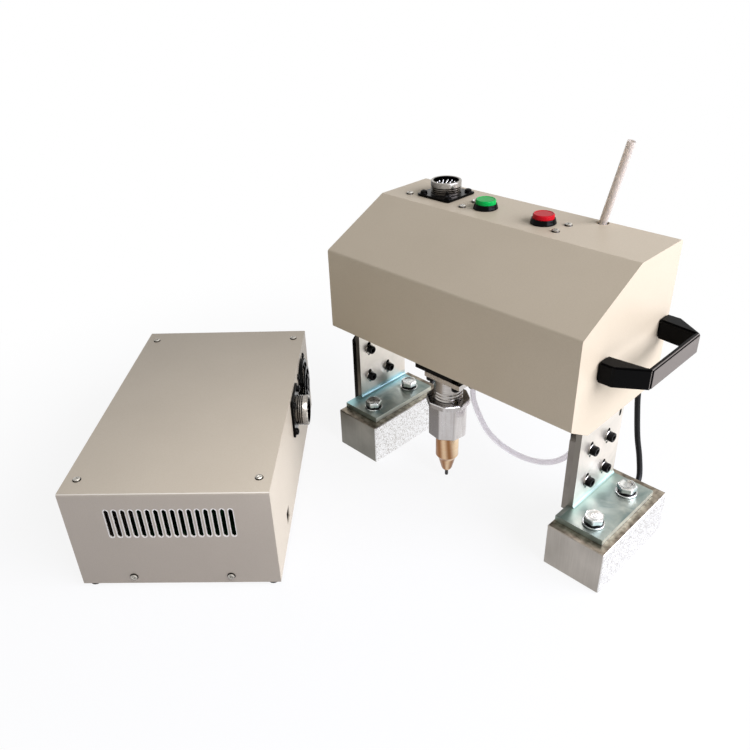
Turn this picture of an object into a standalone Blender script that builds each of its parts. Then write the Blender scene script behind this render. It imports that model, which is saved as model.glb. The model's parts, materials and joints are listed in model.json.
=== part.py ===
"""Nameplate marking machine: a pneumatic marking head on two magnet feet, and its controller box.

Metres, +Z up. The head's front faces -Y. Its own frame starts at the hood's front left edge, on the
floor, and the controller has a frame of its own at its front left corner. Two empties place them.
"""
import math

import bpy
import bmesh
from mathutils import Matrix, Vector

for leftover in list(bpy.data.objects):
    bpy.data.objects.remove(leftover, do_unlink=True)

# Fits and drawing
GAP = 0.0003          # between pieces that touch
OVERRUN = 0.002       # how far a cutter passes the face that it cuts
ROUND = 32            # sides of a large round piece
SMALL_ROUND = 16      # sides of a screw or a pin
BEND_STEPS = 4        # flats in a folded edge or a small corner

# Hood
HOOD_LENGTH = 0.310
HOOD_DEPTH = 0.160
HOOD_HEIGHT = 0.132       # front edge to top
FRONT_HEIGHT = 0.090      # upright part of the front
SLOPE_INSET = 0.085       # how far back the slope carries the top
FRONT_EDGE_Z = 0.1575     # front edge above the floor
SKIRT_DROP = 0.019        # the sides hang this much lower than the front
SKIRT_START = 0.031       # where the slanted front corner of the side ends
SHEET = 0.0015
BEND = 0.003

HOOD_TOP = FRONT_EDGE_Z + HOOD_HEIGHT
HOOD_ROOF = HOOD_TOP - SHEET
SKIRT_Z = FRONT_EDGE_Z - SKIRT_DROP
KNEE_Z = FRONT_EDGE_Z + FRONT_HEIGHT
SLOPE = (HOOD_HEIGHT - FRONT_HEIGHT) / SLOPE_INSET

# Chassis plates and rear beam
PLATE = 0.006
SIDE_CLEARANCE = 0.0011
PLATE_LEFT = SHEET + SIDE_CLEARANCE
PLATE_RIGHT = HOOD_LENGTH - SHEET - SIDE_CLEARANCE - 2 * PLATE
PLATE_FRONT = 0.004
REAR_SPACE = 0.020        # plates' rear edge to the hood's back
PLATE_REAR = HOOD_DEPTH - REAR_SPACE
LEG_FRONT = 0.026
LEG_REAR = 0.102
LEG_CHAMFER = 0.014
CHAMFER_DROP = 0.031
BODY_RISE = 0.0025        # plate's front lower edge above the hood's
BODY_REAR_DROP = 0.0075
BODY_Z = FRONT_EDGE_Z + BODY_RISE
BODY_REAR_Z = FRONT_EDGE_Z - BODY_REAR_DROP
LEG_CHAMFER_Z = BODY_Z - CHAMFER_DROP
SLOPE_CLEARANCE = 0.003
BEAM = 0.0055
BEAM_HEIGHT = 0.030
BEAM_DROP = 0.008         # beam's underside below the lead screw

# Feet
BLOCK_LENGTH = 0.120
BLOCK_WIDTH = 0.060
BLOCK_HEIGHT = 0.048
BLOCK_FRONT = -0.0042
BLOCK_EDGE = 0.0008
BLOCK_OVERHANG = 0.0075   # block's left face to the bracket's mounting face
FLANGE_WIDTH = 0.0442
FLANGE_FRONT = 0.006
BRACKET_HEIGHT = 0.120
INNER_BEND = 0.003
SLOT_WIDTH = 0.0056
SLOT_LENGTH = 0.018
SLOT_FRONT = {"left": 0.0414, "right": 0.0470}
SLOT_PITCH_Y = 0.0305
SLOT_RISE = {"left": 0.0247, "right": 0.0215}     # lowest slots above the flange
SLOT_PITCH_Z = 0.0372
STOP_SLOT_WIDTH = 0.004
STOP_SLOT_Y = 0.096
STOP_SLOT_RISE = 0.0817
HEX_FLATS = 0.017
HEX_HEAD = 0.0066
HEX_SHANK = 0.005
HEX_WASHER = 0.0105
HEX_WASHER_THICK = 0.002
HEX_REACH = 0.018
HEX_X = 0.0259
HEX_Y = (0.0208, 0.082)

# Magnet leads
LEAD = 0.003
GLAND = 0.0065
GLAND_LENGTH = 0.0095
GLAND_ROOT = 0.0045
GLAND_ROOT_LENGTH = 0.006
GLAND_Z = 0.024
GLAND_X = 0.0140          # from the bracket's mounting face
STRIP_LEFT = 0.070
STRIP_LENGTH = 0.130
STRIP_LIFT = 0.004        # above the beam's underside
STRIP_HEIGHT = 0.012
STRIP_DEPTH = 0.010
STRIP_SLOT = 0.003
STRIP_POLES = 8

# X drive
SHAFT = 0.005
SHAFT_RISE = 0.0565       # above the hood's front edge
SHAFT_Z = FRONT_EDGE_Z + SHAFT_RISE
SHAFT_FRONT = 0.015
SHAFT_INSET = 0.047       # rear shaft to the hood's back
SHAFT_REAR = HOOD_DEPTH - SHAFT_INSET
SHAFT_END = 0.002         # shaft's end behind the plate's outer face
SCREW_RISE = 0.030
SCREW_Z = SHAFT_Z + SCREW_RISE
BEAM_Z = SCREW_Z - BEAM_DROP
SCREW = 0.004
MOTOR = 0.042
MOTOR_LENGTH = 0.038
MOTOR_CORNER = 0.004
MOTOR_BOSS = 0.011
MOTOR_BOSS_HEIGHT = 0.002
MOTOR_SHAFT = 0.0025
COUPLING = 0.0095
COUPLING_LENGTH = 0.018
COUPLING_START = 0.0015   # from the motor's boss
NUT = 0.007
NUT_FLANGE = 0.010
NUT_FLANGE_THICK = 0.003

# X carriage
STYLUS_OFFSET = 0.009     # stylus axis at rest, left of the hood's middle
CARRIAGE_X = HOOD_LENGTH / 2 - STYLUS_OFFSET
CARRIAGE_HALF = 0.032
CARRIAGE_UNDER = 0.034    # below the shafts' axes
CARRIAGE_OVER = 0.016
CARRIAGE_BOTTOM = SHAFT_Z - CARRIAGE_UNDER
CARRIAGE_TOP = SHAFT_Z + CARRIAGE_OVER
CARRIAGE_TIE = 0.006
BEARING_BLOCK = 0.008     # half the depth of a block round a shaft
FRONT_BLOCK = (SHAFT_FRONT - BEARING_BLOCK, SHAFT_FRONT + BEARING_BLOCK)
REAR_BLOCK = (SHAFT_REAR - BEARING_BLOCK, SHAFT_REAR + BEARING_BLOCK)
NUT_BRACKET_HALF = 0.012
NUT_BRACKET_OVER = 0.014
NUT_BRACKET_TOP = SCREW_Z + NUT_BRACKET_OVER

# Y drive
RAIL = 0.004
RAIL_DROP = 0.024         # below the shafts
RAIL_Z = SHAFT_Z - RAIL_DROP
RAIL_SPREAD = 0.022
RAIL_END = 0.002
Y_SCREW_RISE = 0.008
Y_SCREW_Z = RAIL_Z + Y_SCREW_RISE
Y_SCREW = 0.003
Y_MOTOR = 0.028
Y_MOTOR_LENGTH = 0.0255
Y_MOTOR_CORNER = 0.003

# Y carriage and its black plate
STYLUS_Y = 0.0305
SLIDER_HALF = 0.030
SLIDER_FRONT = 0.030
SLIDER_REAR = 0.058
SLIDER_UNDER = 0.012      # below the rails' axes
SLIDER_OVER = 0.017
SLIDER_Z = (RAIL_Z - SLIDER_UNDER, RAIL_Z + SLIDER_OVER)
WEB = 0.008
DECK_LEFT = 0.030         # from the stylus's axis
DECK_RIGHT = 0.020
DECK_FRONT = 0.0115
DECK = 0.008
DECK_DROP = 0.0384        # deck's top below the rails' axes
DECK_Z = (RAIL_Z - DECK_DROP - DECK, RAIL_Z - DECK_DROP)

# Stylus, whose heights are its own: the deck's underside is at DECK_LEVEL
DECK_LEVEL = 0.1436
TIP_Z = 0.005
TIP_FLAT = 0.0011
TIP_CONE = 0.0008
PIN = 0.0019
NOSE_END_Z = 0.0130
NOSE_TIP_Z = 0.0175
NOSE_WAIST_Z = 0.0304
NOSE_CONE_Z = 0.0353
RIM_STEP = 0.0012
CAP_Z = 0.0662
RIM_Z = 0.105
RIM_TOP = 0.111
NECK_TOP = 0.176
NOSE = 0.01265
NOSE_END = 0.0028
NOSE_TIP = 0.0062
NOSE_WAIST = 0.0097
NOSE_SHANK = 0.010
NOSE_TOP = 0.077
SPRING_SEAT_Z = 0.040
NOSE_CHAMBER = 0.0075
CAP_CORNER = 0.0216
RIM_CORNER = 0.0243
CAP_SIDES = 8
NECK = 0.0154
SPIGOT = 0.013
SPIGOT_Z = 0.080
PISTON_BORE = 0.009
PISTON = 0.0087
PISTON_Z = (0.084, 0.096)
BORE_TOP = 0.168
SPRING_WIRE = 0.0005
SPRING_RADIUS = 0.0055
SPRING_TURNS = 7
SPRING_POINTS = 10
THREAD = 0.0007
THREAD_RINGS = 3
THREAD_PITCH = 0.0036
CLAMP_LEFT = 0.017
CLAMP_RIGHT = 0.0295
CLAMP_DEPTH = 0.038
CLAMP_Z = (0.1380, 0.1433)

# Air
TUBE = 0.003
ELBOW = 0.005
ELBOW_Z = 0.1262
ELBOW_AT = (0.0229, 0.0125)       # from the stylus's axis
ELBOW_HEX = 0.0062
ELBOW_HEX_Z = 0.1325
HOSE = 0.004
HOSE_HOLE = 0.00625
HOSE_HOLE_X = 0.2331
HOSE_HOLE_INSET = 0.0078
HOSE_AT = (HOSE_HOLE_X, HOOD_DEPTH - HOSE_HOLE_INSET)
VALVE_WIDTH = 0.0251
VALVE_Y = (0.036, 0.064)
VALVE_Z = (0.1315, 0.172)
VALVE_PORT = 0.005
PORT_Y = 0.050
OUTLET_INSET = 0.0068     # from the chassis plate
OUTLET_REACH = 0.0191
INLET_INSET = 0.0134
INLET_REACH = 0.012
VALVE_COIL = 0.011

# Buttons
BUTTON_INSET = 0.0445     # to the hood's back
BUTTON_Y = HOOD_DEPTH - BUTTON_INSET
BUTTON_X = {"green": 0.1195, "red": 0.1897}
BEZEL = 0.0129
BEZEL_HEIGHT = 0.0052
BEZEL_LIP = 0.0009
BUTTON_BODY = 0.0109
BUTTON_HOLE = 0.0112
BUTTON_DEPTH = 0.012
BUTTON_CAP = 0.0107
CAP_HEIGHT = 0.0043
CAP_SHOULDER = 0.0007
CAP_FLOOR = 0.0015
BUTTON_TRAVEL = 0.0025
BUTTON_STEM = 0.005
STEM_LENGTH = 0.008
SWITCH_WIDTH = 0.020
SWITCH_DEPTH = 0.024
SWITCH_HEIGHT = 0.014

# Sockets, on the head and on the controller
SOCKET_X = 0.0585
SOCKET_INSET = 0.0355
SOCKET_AT = (SOCKET_X, HOOD_DEPTH - SOCKET_INSET)
SOCKET_HALF = 0.0225
SOCKET_FLANGE = 0.003
SOCKET_CORNER = 0.003
SOCKET_BARREL = 0.0167
SOCKET_BORE = 0.0137
SOCKET_HEIGHT = 0.0165
SOCKET_GROOVE = 0.0007
SOCKET_RINGS = 3
SOCKET_BACK = 0.0150
SOCKET_BACK_DEPTH = 0.018
SOCKET_HOLE = 0.0158
SOCKET_SCREW = 0.0016
SOCKET_SCREW_AT = 0.0170
INSERT_TOP = 0.0045       # insulator's face above the panel
INSERT_THICK = 0.012
CONTACT = 0.0008
CONTACT_LENGTH = 0.0075
CONTACT_RINGS = ((0.0, 1), (0.0048, 6), (0.0096, 12))

# Handles
HANDLE_REACH = 0.0412
HANDLE_FRONT = 0.0305
HANDLE_INSET = 0.0045     # to the hood's back
HANDLE_RISE = 0.0383      # above the hood's front edge
HANDLE_HEIGHT = 0.0203
HANDLE_BASE = 0.016
HANDLE_STRAIGHT = 0.0145
HANDLE_LEAN = 0.018
HANDLE_GRIP = 0.0052
HANDLE_EDGE = 0.0015

# Controller
CASE_WIDTH = 0.192
CASE_LENGTH = 0.310
CASE_HEIGHT = 0.1106
CASE_CORNER = (-0.0020, -0.3353)
CASE_TURN = math.radians(44.0)
CASE_SHEET = 0.0012
CASE_BEND = 0.002
FOOT = 0.0065
FOOT_HEIGHT = 0.005
FOOT_INSET = 0.0085
VENTS = 16
VENT_WIDTH = 0.0043
VENT_LENGTH = 0.0333
VENT_DROP = 0.0183        # below the case's top
VENT_LEFT = 0.0408
VENT_RIGHT = 0.0374       # last vent to the case's right side
CASE_TOP = FOOT_HEIGHT + CASE_HEIGHT
CASE_SOCKET_INSET = 0.137     # to the case's back
CASE_SOCKET_DROP = 0.0278
CASE_SOCKET = (CASE_LENGTH - CASE_SOCKET_INSET, CASE_TOP - CASE_SOCKET_DROP)
FAN_INSET = 0.067
FAN_DROP = 0.0376
FAN_AT = (CASE_LENGTH - FAN_INSET, CASE_TOP - FAN_DROP)
FAN_HALF = 0.030
FAN_DEPTH = 0.020
FAN_BORE = 0.028
FAN_OPENING = 0.027
FAN_ARM = 0.003
FAN_CORNER = 0.003
ROTOR_HUB = 0.011
ROTOR_BLADE = 0.0265
ROTOR_BLADES = 7
ROTOR_DEPTH = 0.013
ROTOR_AXLE = 0.0015
FAN_MOUNT = 0.009
MOUNT_DEPTH = 0.003
BLADE_THICK = 0.0012
BLADE_SHARE = 0.8         # of the rotor's depth
BLADE_PITCH = math.radians(38.0)
GUARD = 0.031
GUARD_BAR = 0.0018
GUARD_RIM = 0.004
GUARD_RISE = 0.0085
GUARD_RING_SHARES = ((2 / 3, 0.80), (1 / 3, 0.95))     # of the guard's radius and rise
PORT_AT = (0.071, 0.026)
PORT_HALF = 0.00725
SUPPLY_LEFT = 0.022
SUPPLY_INSET = 0.030      # to the case's back
SUPPLY_WIDTH = 0.098
SUPPLY_LENGTH = 0.110
SUPPLY_HEIGHT = 0.038
BOARD_LEFT = 0.024
BOARD_FRONT = 0.030
BOARD_SPACE = 0.030       # board to power supply
BOARD_WIDTH = 0.120
BOARD_THICK = 0.0016
STANDOFF = 0.003
STANDOFF_HEIGHT = 0.008
CHIP_SHARES = ((0.20, 0.38, 0.25, 0.52), (0.55, 0.80, 0.30, 0.52), (0.30, 0.80, 0.70, 0.85))
CHIP_HEIGHTS = (0.012, 0.016, 0.010)

MOUNT_FACE_LEFT = PLATE_LEFT + 2 * PLATE
MOUNT_FACE_RIGHT = PLATE_RIGHT + 2 * PLATE
FEET = {"left": MOUNT_FACE_LEFT, "right": MOUNT_FACE_RIGHT}
FLANGE_Z = BLOCK_HEIGHT + GAP
FLANGE_TOP = FLANGE_Z + PLATE

# Lead's route from the gland, in the mounting face's X, the head's Y and Z: chosen by hand
LEAD_ROUTE = (
    (0.0140, 0.1259, 0.0240),
    (0.0140, 0.1310, 0.0240),
    (0.0115, 0.1425, 0.0310),
    (0.0055, 0.1480, 0.0500),
    (-0.0010, 0.1495, 0.0720),
    (-0.0055, 0.1500, 0.0960),
    (-0.0090, 0.1500, 0.1230),
    (-0.0090, 0.1505, 0.1450),
)
LEAD_INSIDE = {
    "left": ((0.0085, 0.1515, 0.1750), (0.0200, 0.1530, 0.2020), (0.0450, 0.1530, 0.2170),
             (0.0680, 0.1510, 0.2220), (0.0795, 0.1470, 0.2310), (0.0800, 0.1465, 0.2397)),
    "right": ((0.2980, 0.1515, 0.1750), (0.2850, 0.1530, 0.2020), (0.2560, 0.1535, 0.2150),
              (0.2100, 0.1520, 0.2190), (0.1908, 0.1470, 0.2290), (0.1900, 0.1465, 0.2397)),
}
LOOP_ROUTE = (
    (0.1689, 0.0430, 0.1259),
    (0.1689, 0.0430, 0.1190),
    (0.1710, 0.0430, 0.1090),
    (0.1785, 0.0434, 0.0945),
    (0.1895, 0.0438, 0.0800),
    (0.2055, 0.0444, 0.0710),
    (0.2265, 0.0450, 0.0672),
    (0.2469, 0.0460, 0.0688),
    (0.2647, 0.0470, 0.0755),
    (0.2780, 0.0485, 0.0858),
    (0.2864, 0.0495, 0.0980),
    (0.2886, 0.0500, 0.1075),
    (0.2886, 0.0500, 0.1121),
)
HOSE_ROUTE = (
    (0.2507, 0.1520, 0.3694),
    (0.2419, 0.1521, 0.3296),
    (0.2331, 0.1522, 0.2898),
    (0.2300, 0.1510, 0.2680),
    (0.2350, 0.1495, 0.2480),
    (0.2480, 0.1470, 0.2335),
    (0.2610, 0.1415, 0.2290),
    (0.2710, 0.1320, 0.2285),
    (0.2790, 0.1150, 0.2290),
    (0.2840, 0.0920, 0.2230),
    (0.2840, 0.0690, 0.2090),
    (0.2824, 0.0535, 0.1985),
    (0.2820, 0.0500, 0.1900),
    (0.2820, 0.0500, 0.1843),
)
LEAD_STEP = 0.0085
LOOP_STEP = 0.0080
HOSE_STEP = 0.0105


def material(name, colour, roughness, metallic=0.0, transmission=0.0):
    made = bpy.data.materials.new(name)
    made.use_nodes = True
    shader = made.node_tree.nodes["Principled BSDF"]
    shader.inputs["Base Color"].default_value = (*colour, 1.0)
    shader.inputs["Roughness"].default_value = roughness
    shader.inputs["Metallic"].default_value = metallic
    shader.inputs["Transmission Weight"].default_value = transmission
    return made


COAT = ("powder_coat", (0.58, 0.52, 0.43), 0.45)
ZINC = ("zinc_plate", (0.62, 0.68, 0.66), 0.30, 1.0)
STEEL = ("ground_steel", (0.55, 0.54, 0.52), 0.35, 1.0)
DARK_STEEL = ("dark_steel", (0.12, 0.12, 0.13), 0.35, 1.0)
ALUMINIUM = ("aluminium", (0.66, 0.65, 0.66), 0.32, 1.0)
BRASS = ("brass", (0.70, 0.50, 0.28), 0.28, 1.0)
BLACK_PLASTIC = ("black_plastic", (0.02, 0.02, 0.02), 0.40)
BLACK_ANODISED = ("black_anodised", (0.03, 0.03, 0.03), 0.35, 1.0)
RUBBER = ("rubber", (0.02, 0.02, 0.02), 0.75)
GREEN_LENS = ("green_lens", (0.01, 0.42, 0.12), 0.25)
RED_LENS = ("red_lens", (0.60, 0.02, 0.03), 0.25)
CLEAR_TUBE = ("clear_tube", (0.88, 0.88, 0.90), 0.15, 0.0, 0.8)
BOARD_GREEN = ("board_green", (0.02, 0.16, 0.06), 0.50)
MOTOR_STEEL = ("motor_steel", (0.08, 0.08, 0.09), 0.45, 1.0)

GROUND_Z = 0.0
FAR_CORNER_X = CASE_CORNER[0] - CASE_LENGTH * math.sin(CASE_TURN)
BLOCK_RIGHT_EDGE = MOUNT_FACE_RIGHT - BLOCK_OVERHANG + BLOCK_WIDTH
MIDDLE_X = (FAR_CORNER_X + BLOCK_RIGHT_EDGE) / 2
MIDDLE_Y = (CASE_CORNER[1] + HOOD_DEPTH) / 2


def frame(name, place, turn=0.0, parent=None):
    """An empty that carries a group of pieces."""
    empty = bpy.data.objects.new(name, None)
    empty.location = place
    empty.rotation_euler = (0.0, 0.0, turn)
    empty.parent = parent
    bpy.context.collection.objects.link(empty)
    return empty


HEAD = frame("head_frame", (-MIDDLE_X, -MIDDLE_Y, GROUND_Z))
CASE = frame("controller_frame", (CASE_CORNER[0] - MIDDLE_X, CASE_CORNER[1] - MIDDLE_Y, GROUND_Z), CASE_TURN)


def mesh_of(build, name="shape"):
    """A mesh from a bmesh, with its faces pointing out."""
    mesh = bpy.data.meshes.new(name)
    bmesh.ops.recalc_face_normals(build, faces=build.faces)
    build.to_mesh(mesh)
    build.free()
    return mesh


def prism(outline, low, high, axis="Z"):
    """An outline drawn in two axes and pulled along the third, from low to high."""
    build = bmesh.new()
    order = {"X": (2, 0, 1), "Y": (0, 2, 1), "Z": (0, 1, 2)}[axis]
    ends = []
    for level in (low, high):
        corners = [(p, q, level) for p, q in outline]
        ends.append([build.verts.new([corner[i] for i in order]) for corner in corners])
    build.faces.new(ends[0])
    build.faces.new(ends[1])
    for i in range(len(outline)):
        j = (i + 1) % len(outline)
        build.faces.new((ends[0][i], ends[0][j], ends[1][j], ends[1][i]))
    return mesh_of(build)


def box(x, y, z):
    return prism(((x[0], y[0]), (x[1], y[0]), (x[1], y[1]), (x[0], y[1])), z[0], z[1])


def turned(profile, sides=ROUND, centre=(0.0, 0.0), axis="Z"):
    """A closed profile of (radius, height) points turned about an axis through the centre."""
    build = bmesh.new()
    rings = []
    for radius, height in profile:
        if radius == 0:
            rings.append([build.verts.new((0.0, 0.0, height))])
            continue
        angles = [2 * math.pi * i / sides for i in range(sides)]
        rings.append([build.verts.new((radius * math.cos(a), radius * math.sin(a), height)) for a in angles])
    for i, ring in enumerate(rings):
        following = rings[(i + 1) % len(rings)]
        if len(ring) == 1 and len(following) == 1:
            continue
        for k in range(sides):
            corners = [ring[k % len(ring)], ring[(k + 1) % len(ring)],
                       following[(k + 1) % len(following)], following[k % len(following)]]
            unique = [corner for n, corner in enumerate(corners) if corner not in corners[:n]]
            if len(unique) > 2:
                build.faces.new(unique)
    lay = {"Z": Matrix(), "X": Matrix(((0, 0, 1), (1, 0, 0), (0, 1, 0))).to_4x4(),
           "Y": Matrix(((0, 1, 0), (0, 0, 1), (1, 0, 0))).to_4x4()}[axis]
    shift = {"Z": (centre[0], centre[1], 0.0), "X": (0.0, centre[0], centre[1]),
             "Y": (centre[0], 0.0, centre[1])}[axis]
    bmesh.ops.transform(build, matrix=Matrix.Translation(shift) @ lay, verts=build.verts)
    return mesh_of(build)


def rod(radius, low, high, centre=(0.0, 0.0), axis="Z", sides=SMALL_ROUND):
    return turned(((0.0, low), (radius, low), (radius, high), (0.0, high)), sides, centre, axis)


def tube(outer, inner, low, high, centre=(0.0, 0.0), axis="Z", sides=ROUND):
    return turned(((inner, low), (outer, low), (outer, high), (inner, high)), sides, centre, axis)


def arc(centre, radius, start, end, steps):
    """Points on an arc, angles in degrees."""
    angles = [math.radians(start + (end - start) * i / steps) for i in range(steps + 1)]
    return [(centre[0] + radius * math.cos(a), centre[1] + radius * math.sin(a)) for a in angles]


def rounded(width, height, radius, centre=(0.0, 0.0), steps=BEND_STEPS):
    """A rectangle's outline with round corners."""
    points = []
    for sx, sy, start in ((1, 1, 0), (-1, 1, 90), (-1, -1, 180), (1, -1, 270)):
        middle = (centre[0] + sx * (width / 2 - radius), centre[1] + sy * (height / 2 - radius))
        points += arc(middle, radius, start, start + 90, steps)
    return points


def slot(width, length, centre, steps=BEND_STEPS):
    """An upright slot with round ends."""
    middle = length / 2 - width / 2
    top = arc((centre[0], centre[1] + middle), width / 2, 0, 180, steps)
    return top + arc((centre[0], centre[1] - middle), width / 2, 180, 360, steps)


def joined(*meshes):
    """Several meshes in one, as they lie: for cutters."""
    build = bmesh.new()
    for mesh in meshes:
        build.from_mesh(mesh)
    return mesh_of(build)


def boolean(body, tool, operation):
    pair = [bpy.data.objects.new("body", body), bpy.data.objects.new("tool", tool)]
    for each in pair:
        bpy.context.collection.objects.link(each)
    step = pair[0].modifiers.new("step", "BOOLEAN")
    step.operation = operation
    step.object = pair[1]
    step.solver = "EXACT"
    bpy.context.view_layer.update()
    result = bpy.data.meshes.new_from_object(pair[0].evaluated_get(bpy.context.evaluated_depsgraph_get()))
    for each in pair:
        bpy.data.objects.remove(each, do_unlink=True)
    return result


def cut(body, *tools):
    return boolean(body, joined(*tools), "DIFFERENCE")


def fused(body, *others):
    for other in others:
        body = boolean(body, other, "UNION")
    return body


def softened(mesh, width, segments=1):
    """The same mesh with its sharp edges bevelled."""
    build = bmesh.new()
    build.from_mesh(mesh)
    sharp = [edge for edge in build.edges if edge.calc_face_angle(0.0) > math.radians(30.0)]
    bmesh.ops.bevel(build, geom=sharp, offset=width, segments=segments, affect="EDGES")
    return mesh_of(build)


def piece(name, mesh, look, parent=HEAD, origin=(0.0, 0.0, 0.0), smooth=True):
    """One named piece: its mesh, its material, and its origin at the given place of its frame."""
    mesh = mesh.copy()
    mesh.name = name
    mesh.transform(Matrix.Translation(-Vector(origin)))
    mesh.materials.clear()
    mesh.materials.append(material(name, *look[1:]))
    if smooth:
        mesh.shade_smooth()
        mesh.set_sharp_from_angle(angle=math.radians(35.0))
    placed = bpy.data.objects.new(name, mesh)
    placed.location = origin
    placed.parent = parent
    bpy.context.collection.objects.link(placed)
    return placed


def smooth_route(route, step):
    """Points about one step apart on a smooth curve through the route's own points."""
    route = [Vector(point) for point in route]
    before = 2 * route[0] - route[1]
    after = 2 * route[-1] - route[-2]
    knots = [before, *route, after]
    points = [route[0]]
    for i in range(1, len(knots) - 2):
        p0, p1, p2, p3 = knots[i - 1:i + 3]
        pieces = max(1, round((p2 - p1).length / step))
        for n in range(1, pieces + 1):
            t = n / pieces
            points.append(0.5 * (2 * p1 + (p2 - p0) * t + (2 * p0 - 5 * p1 + 4 * p2 - p3) * t ** 2
                                 + (3 * p1 - p0 - 3 * p2 + p3) * t ** 3))
    return points


def cord(name, points, radius, look, parent=HEAD, resolution=2):
    """A round cord along a run of points."""
    curve = bpy.data.curves.new(name, "CURVE")
    curve.dimensions = "3D"
    curve.bevel_depth = radius
    curve.bevel_resolution = resolution
    curve.use_fill_caps = True
    line = curve.splines.new("POLY")
    line.points.add(len(points) - 1)
    for point, place in zip(line.points, points):
        point.co = (*place, 1.0)
    curve.materials.append(material(name, *look[1:]))
    placed = bpy.data.objects.new(name, curve)
    placed.parent = parent
    bpy.context.collection.objects.link(placed)
    return placed


def roof_height(y, inset):
    """Height of the hood's slope at y, lowered by an inset square to it."""
    return KNEE_Z + SLOPE * y - inset * math.hypot(1, SLOPE)


def hood_outline(inset, low_front, low_rear):
    """The hood's side view, drawn in by an inset, with folded edges rounded."""
    tilt = math.degrees(math.atan(SLOPE))
    bend = BEND - inset
    top = HOOD_TOP - inset
    rear = HOOD_DEPTH - inset
    half = math.tan(math.radians((90 - tilt) / 2))
    knee = (inset, roof_height(inset, inset))
    crest_y = SLOPE_INSET + inset * math.tan(math.radians(tilt / 2))
    lead = bend * math.tan(math.radians(tilt / 2))
    knee_centre = (inset + bend, knee[1] - bend * half)
    points = list(low_front)
    points += arc(knee_centre, bend, 180, 90 + tilt, BEND_STEPS)
    points += arc((crest_y + lead, top - bend), bend, 90 + tilt, 90, BEND_STEPS)
    points += arc((rear - bend, top - bend), bend, 90, 0, BEND_STEPS)
    points += list(low_rear)
    return points


def make_hood():
    low_front = ((SKIRT_START, SKIRT_Z), (0.0, FRONT_EDGE_Z))
    outside = prism(hood_outline(0.0, low_front, ((HOOD_DEPTH, SKIRT_Z),)), 0.0, HOOD_LENGTH, "X")
    under = SKIRT_Z - OVERRUN
    inner_low = ((SHEET, under),)
    inner_rear = ((HOOD_DEPTH - SHEET, under),)
    inside = prism(hood_outline(SHEET, inner_low, inner_rear), SHEET, HOOD_LENGTH - SHEET, "X")
    low, high = HOOD_ROOF - OVERRUN, HOOD_TOP + OVERRUN
    holes = [rod(BUTTON_HOLE, low, high, (x, BUTTON_Y), sides=ROUND) for x in BUTTON_X.values()]
    holes.append(rod(SOCKET_HOLE, low, high, SOCKET_AT, sides=ROUND))
    holes.append(rod(HOSE_HOLE, low, high, HOSE_AT, sides=ROUND))
    piece("hood", cut(cut(outside, inside), *holes), COAT)


def make_chassis():
    top = HOOD_ROOF - GAP
    slope_end = (top - roof_height(0.0, SHEET + SLOPE_CLEARANCE)) / SLOPE
    outline = (
        (LEG_FRONT, FLANGE_Z), (LEG_REAR, FLANGE_Z), (LEG_REAR, BODY_REAR_Z), (PLATE_REAR, BODY_REAR_Z),
        (PLATE_REAR, top), (slope_end, top), (PLATE_FRONT, roof_height(PLATE_FRONT, SHEET + SLOPE_CLEARANCE)),
        (PLATE_FRONT, BODY_Z), (LEG_FRONT + LEG_CHAMFER, BODY_Z),
        (LEG_FRONT + LEG_CHAMFER, LEG_CHAMFER_Z + LEG_CHAMFER), (LEG_FRONT, LEG_CHAMFER_Z),
    )
    for side, x in (("left", PLATE_LEFT), ("right", PLATE_RIGHT)):
        low, high = x - OVERRUN, x + PLATE + OVERRUN
        holes = [rod(SHAFT + GAP, low, high, (y, SHAFT_Z), "X") for y in (SHAFT_FRONT, SHAFT_REAR)]
        holes.append(rod(SCREW + GAP, low, high, (SHAFT_REAR, SCREW_Z), "X"))
        piece("chassis_plate_" + side, cut(prism(outline, x, x + PLATE, "X"), *holes), BLACK_ANODISED)
    across = (PLATE_LEFT + PLATE + GAP, PLATE_RIGHT - GAP)
    beam_y = (PLATE_REAR - BEAM, PLATE_REAR)
    piece("rear_beam", box(across, beam_y, (BEAM_Z, BEAM_Z + BEAM_HEIGHT)), ALUMINIUM)


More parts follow.
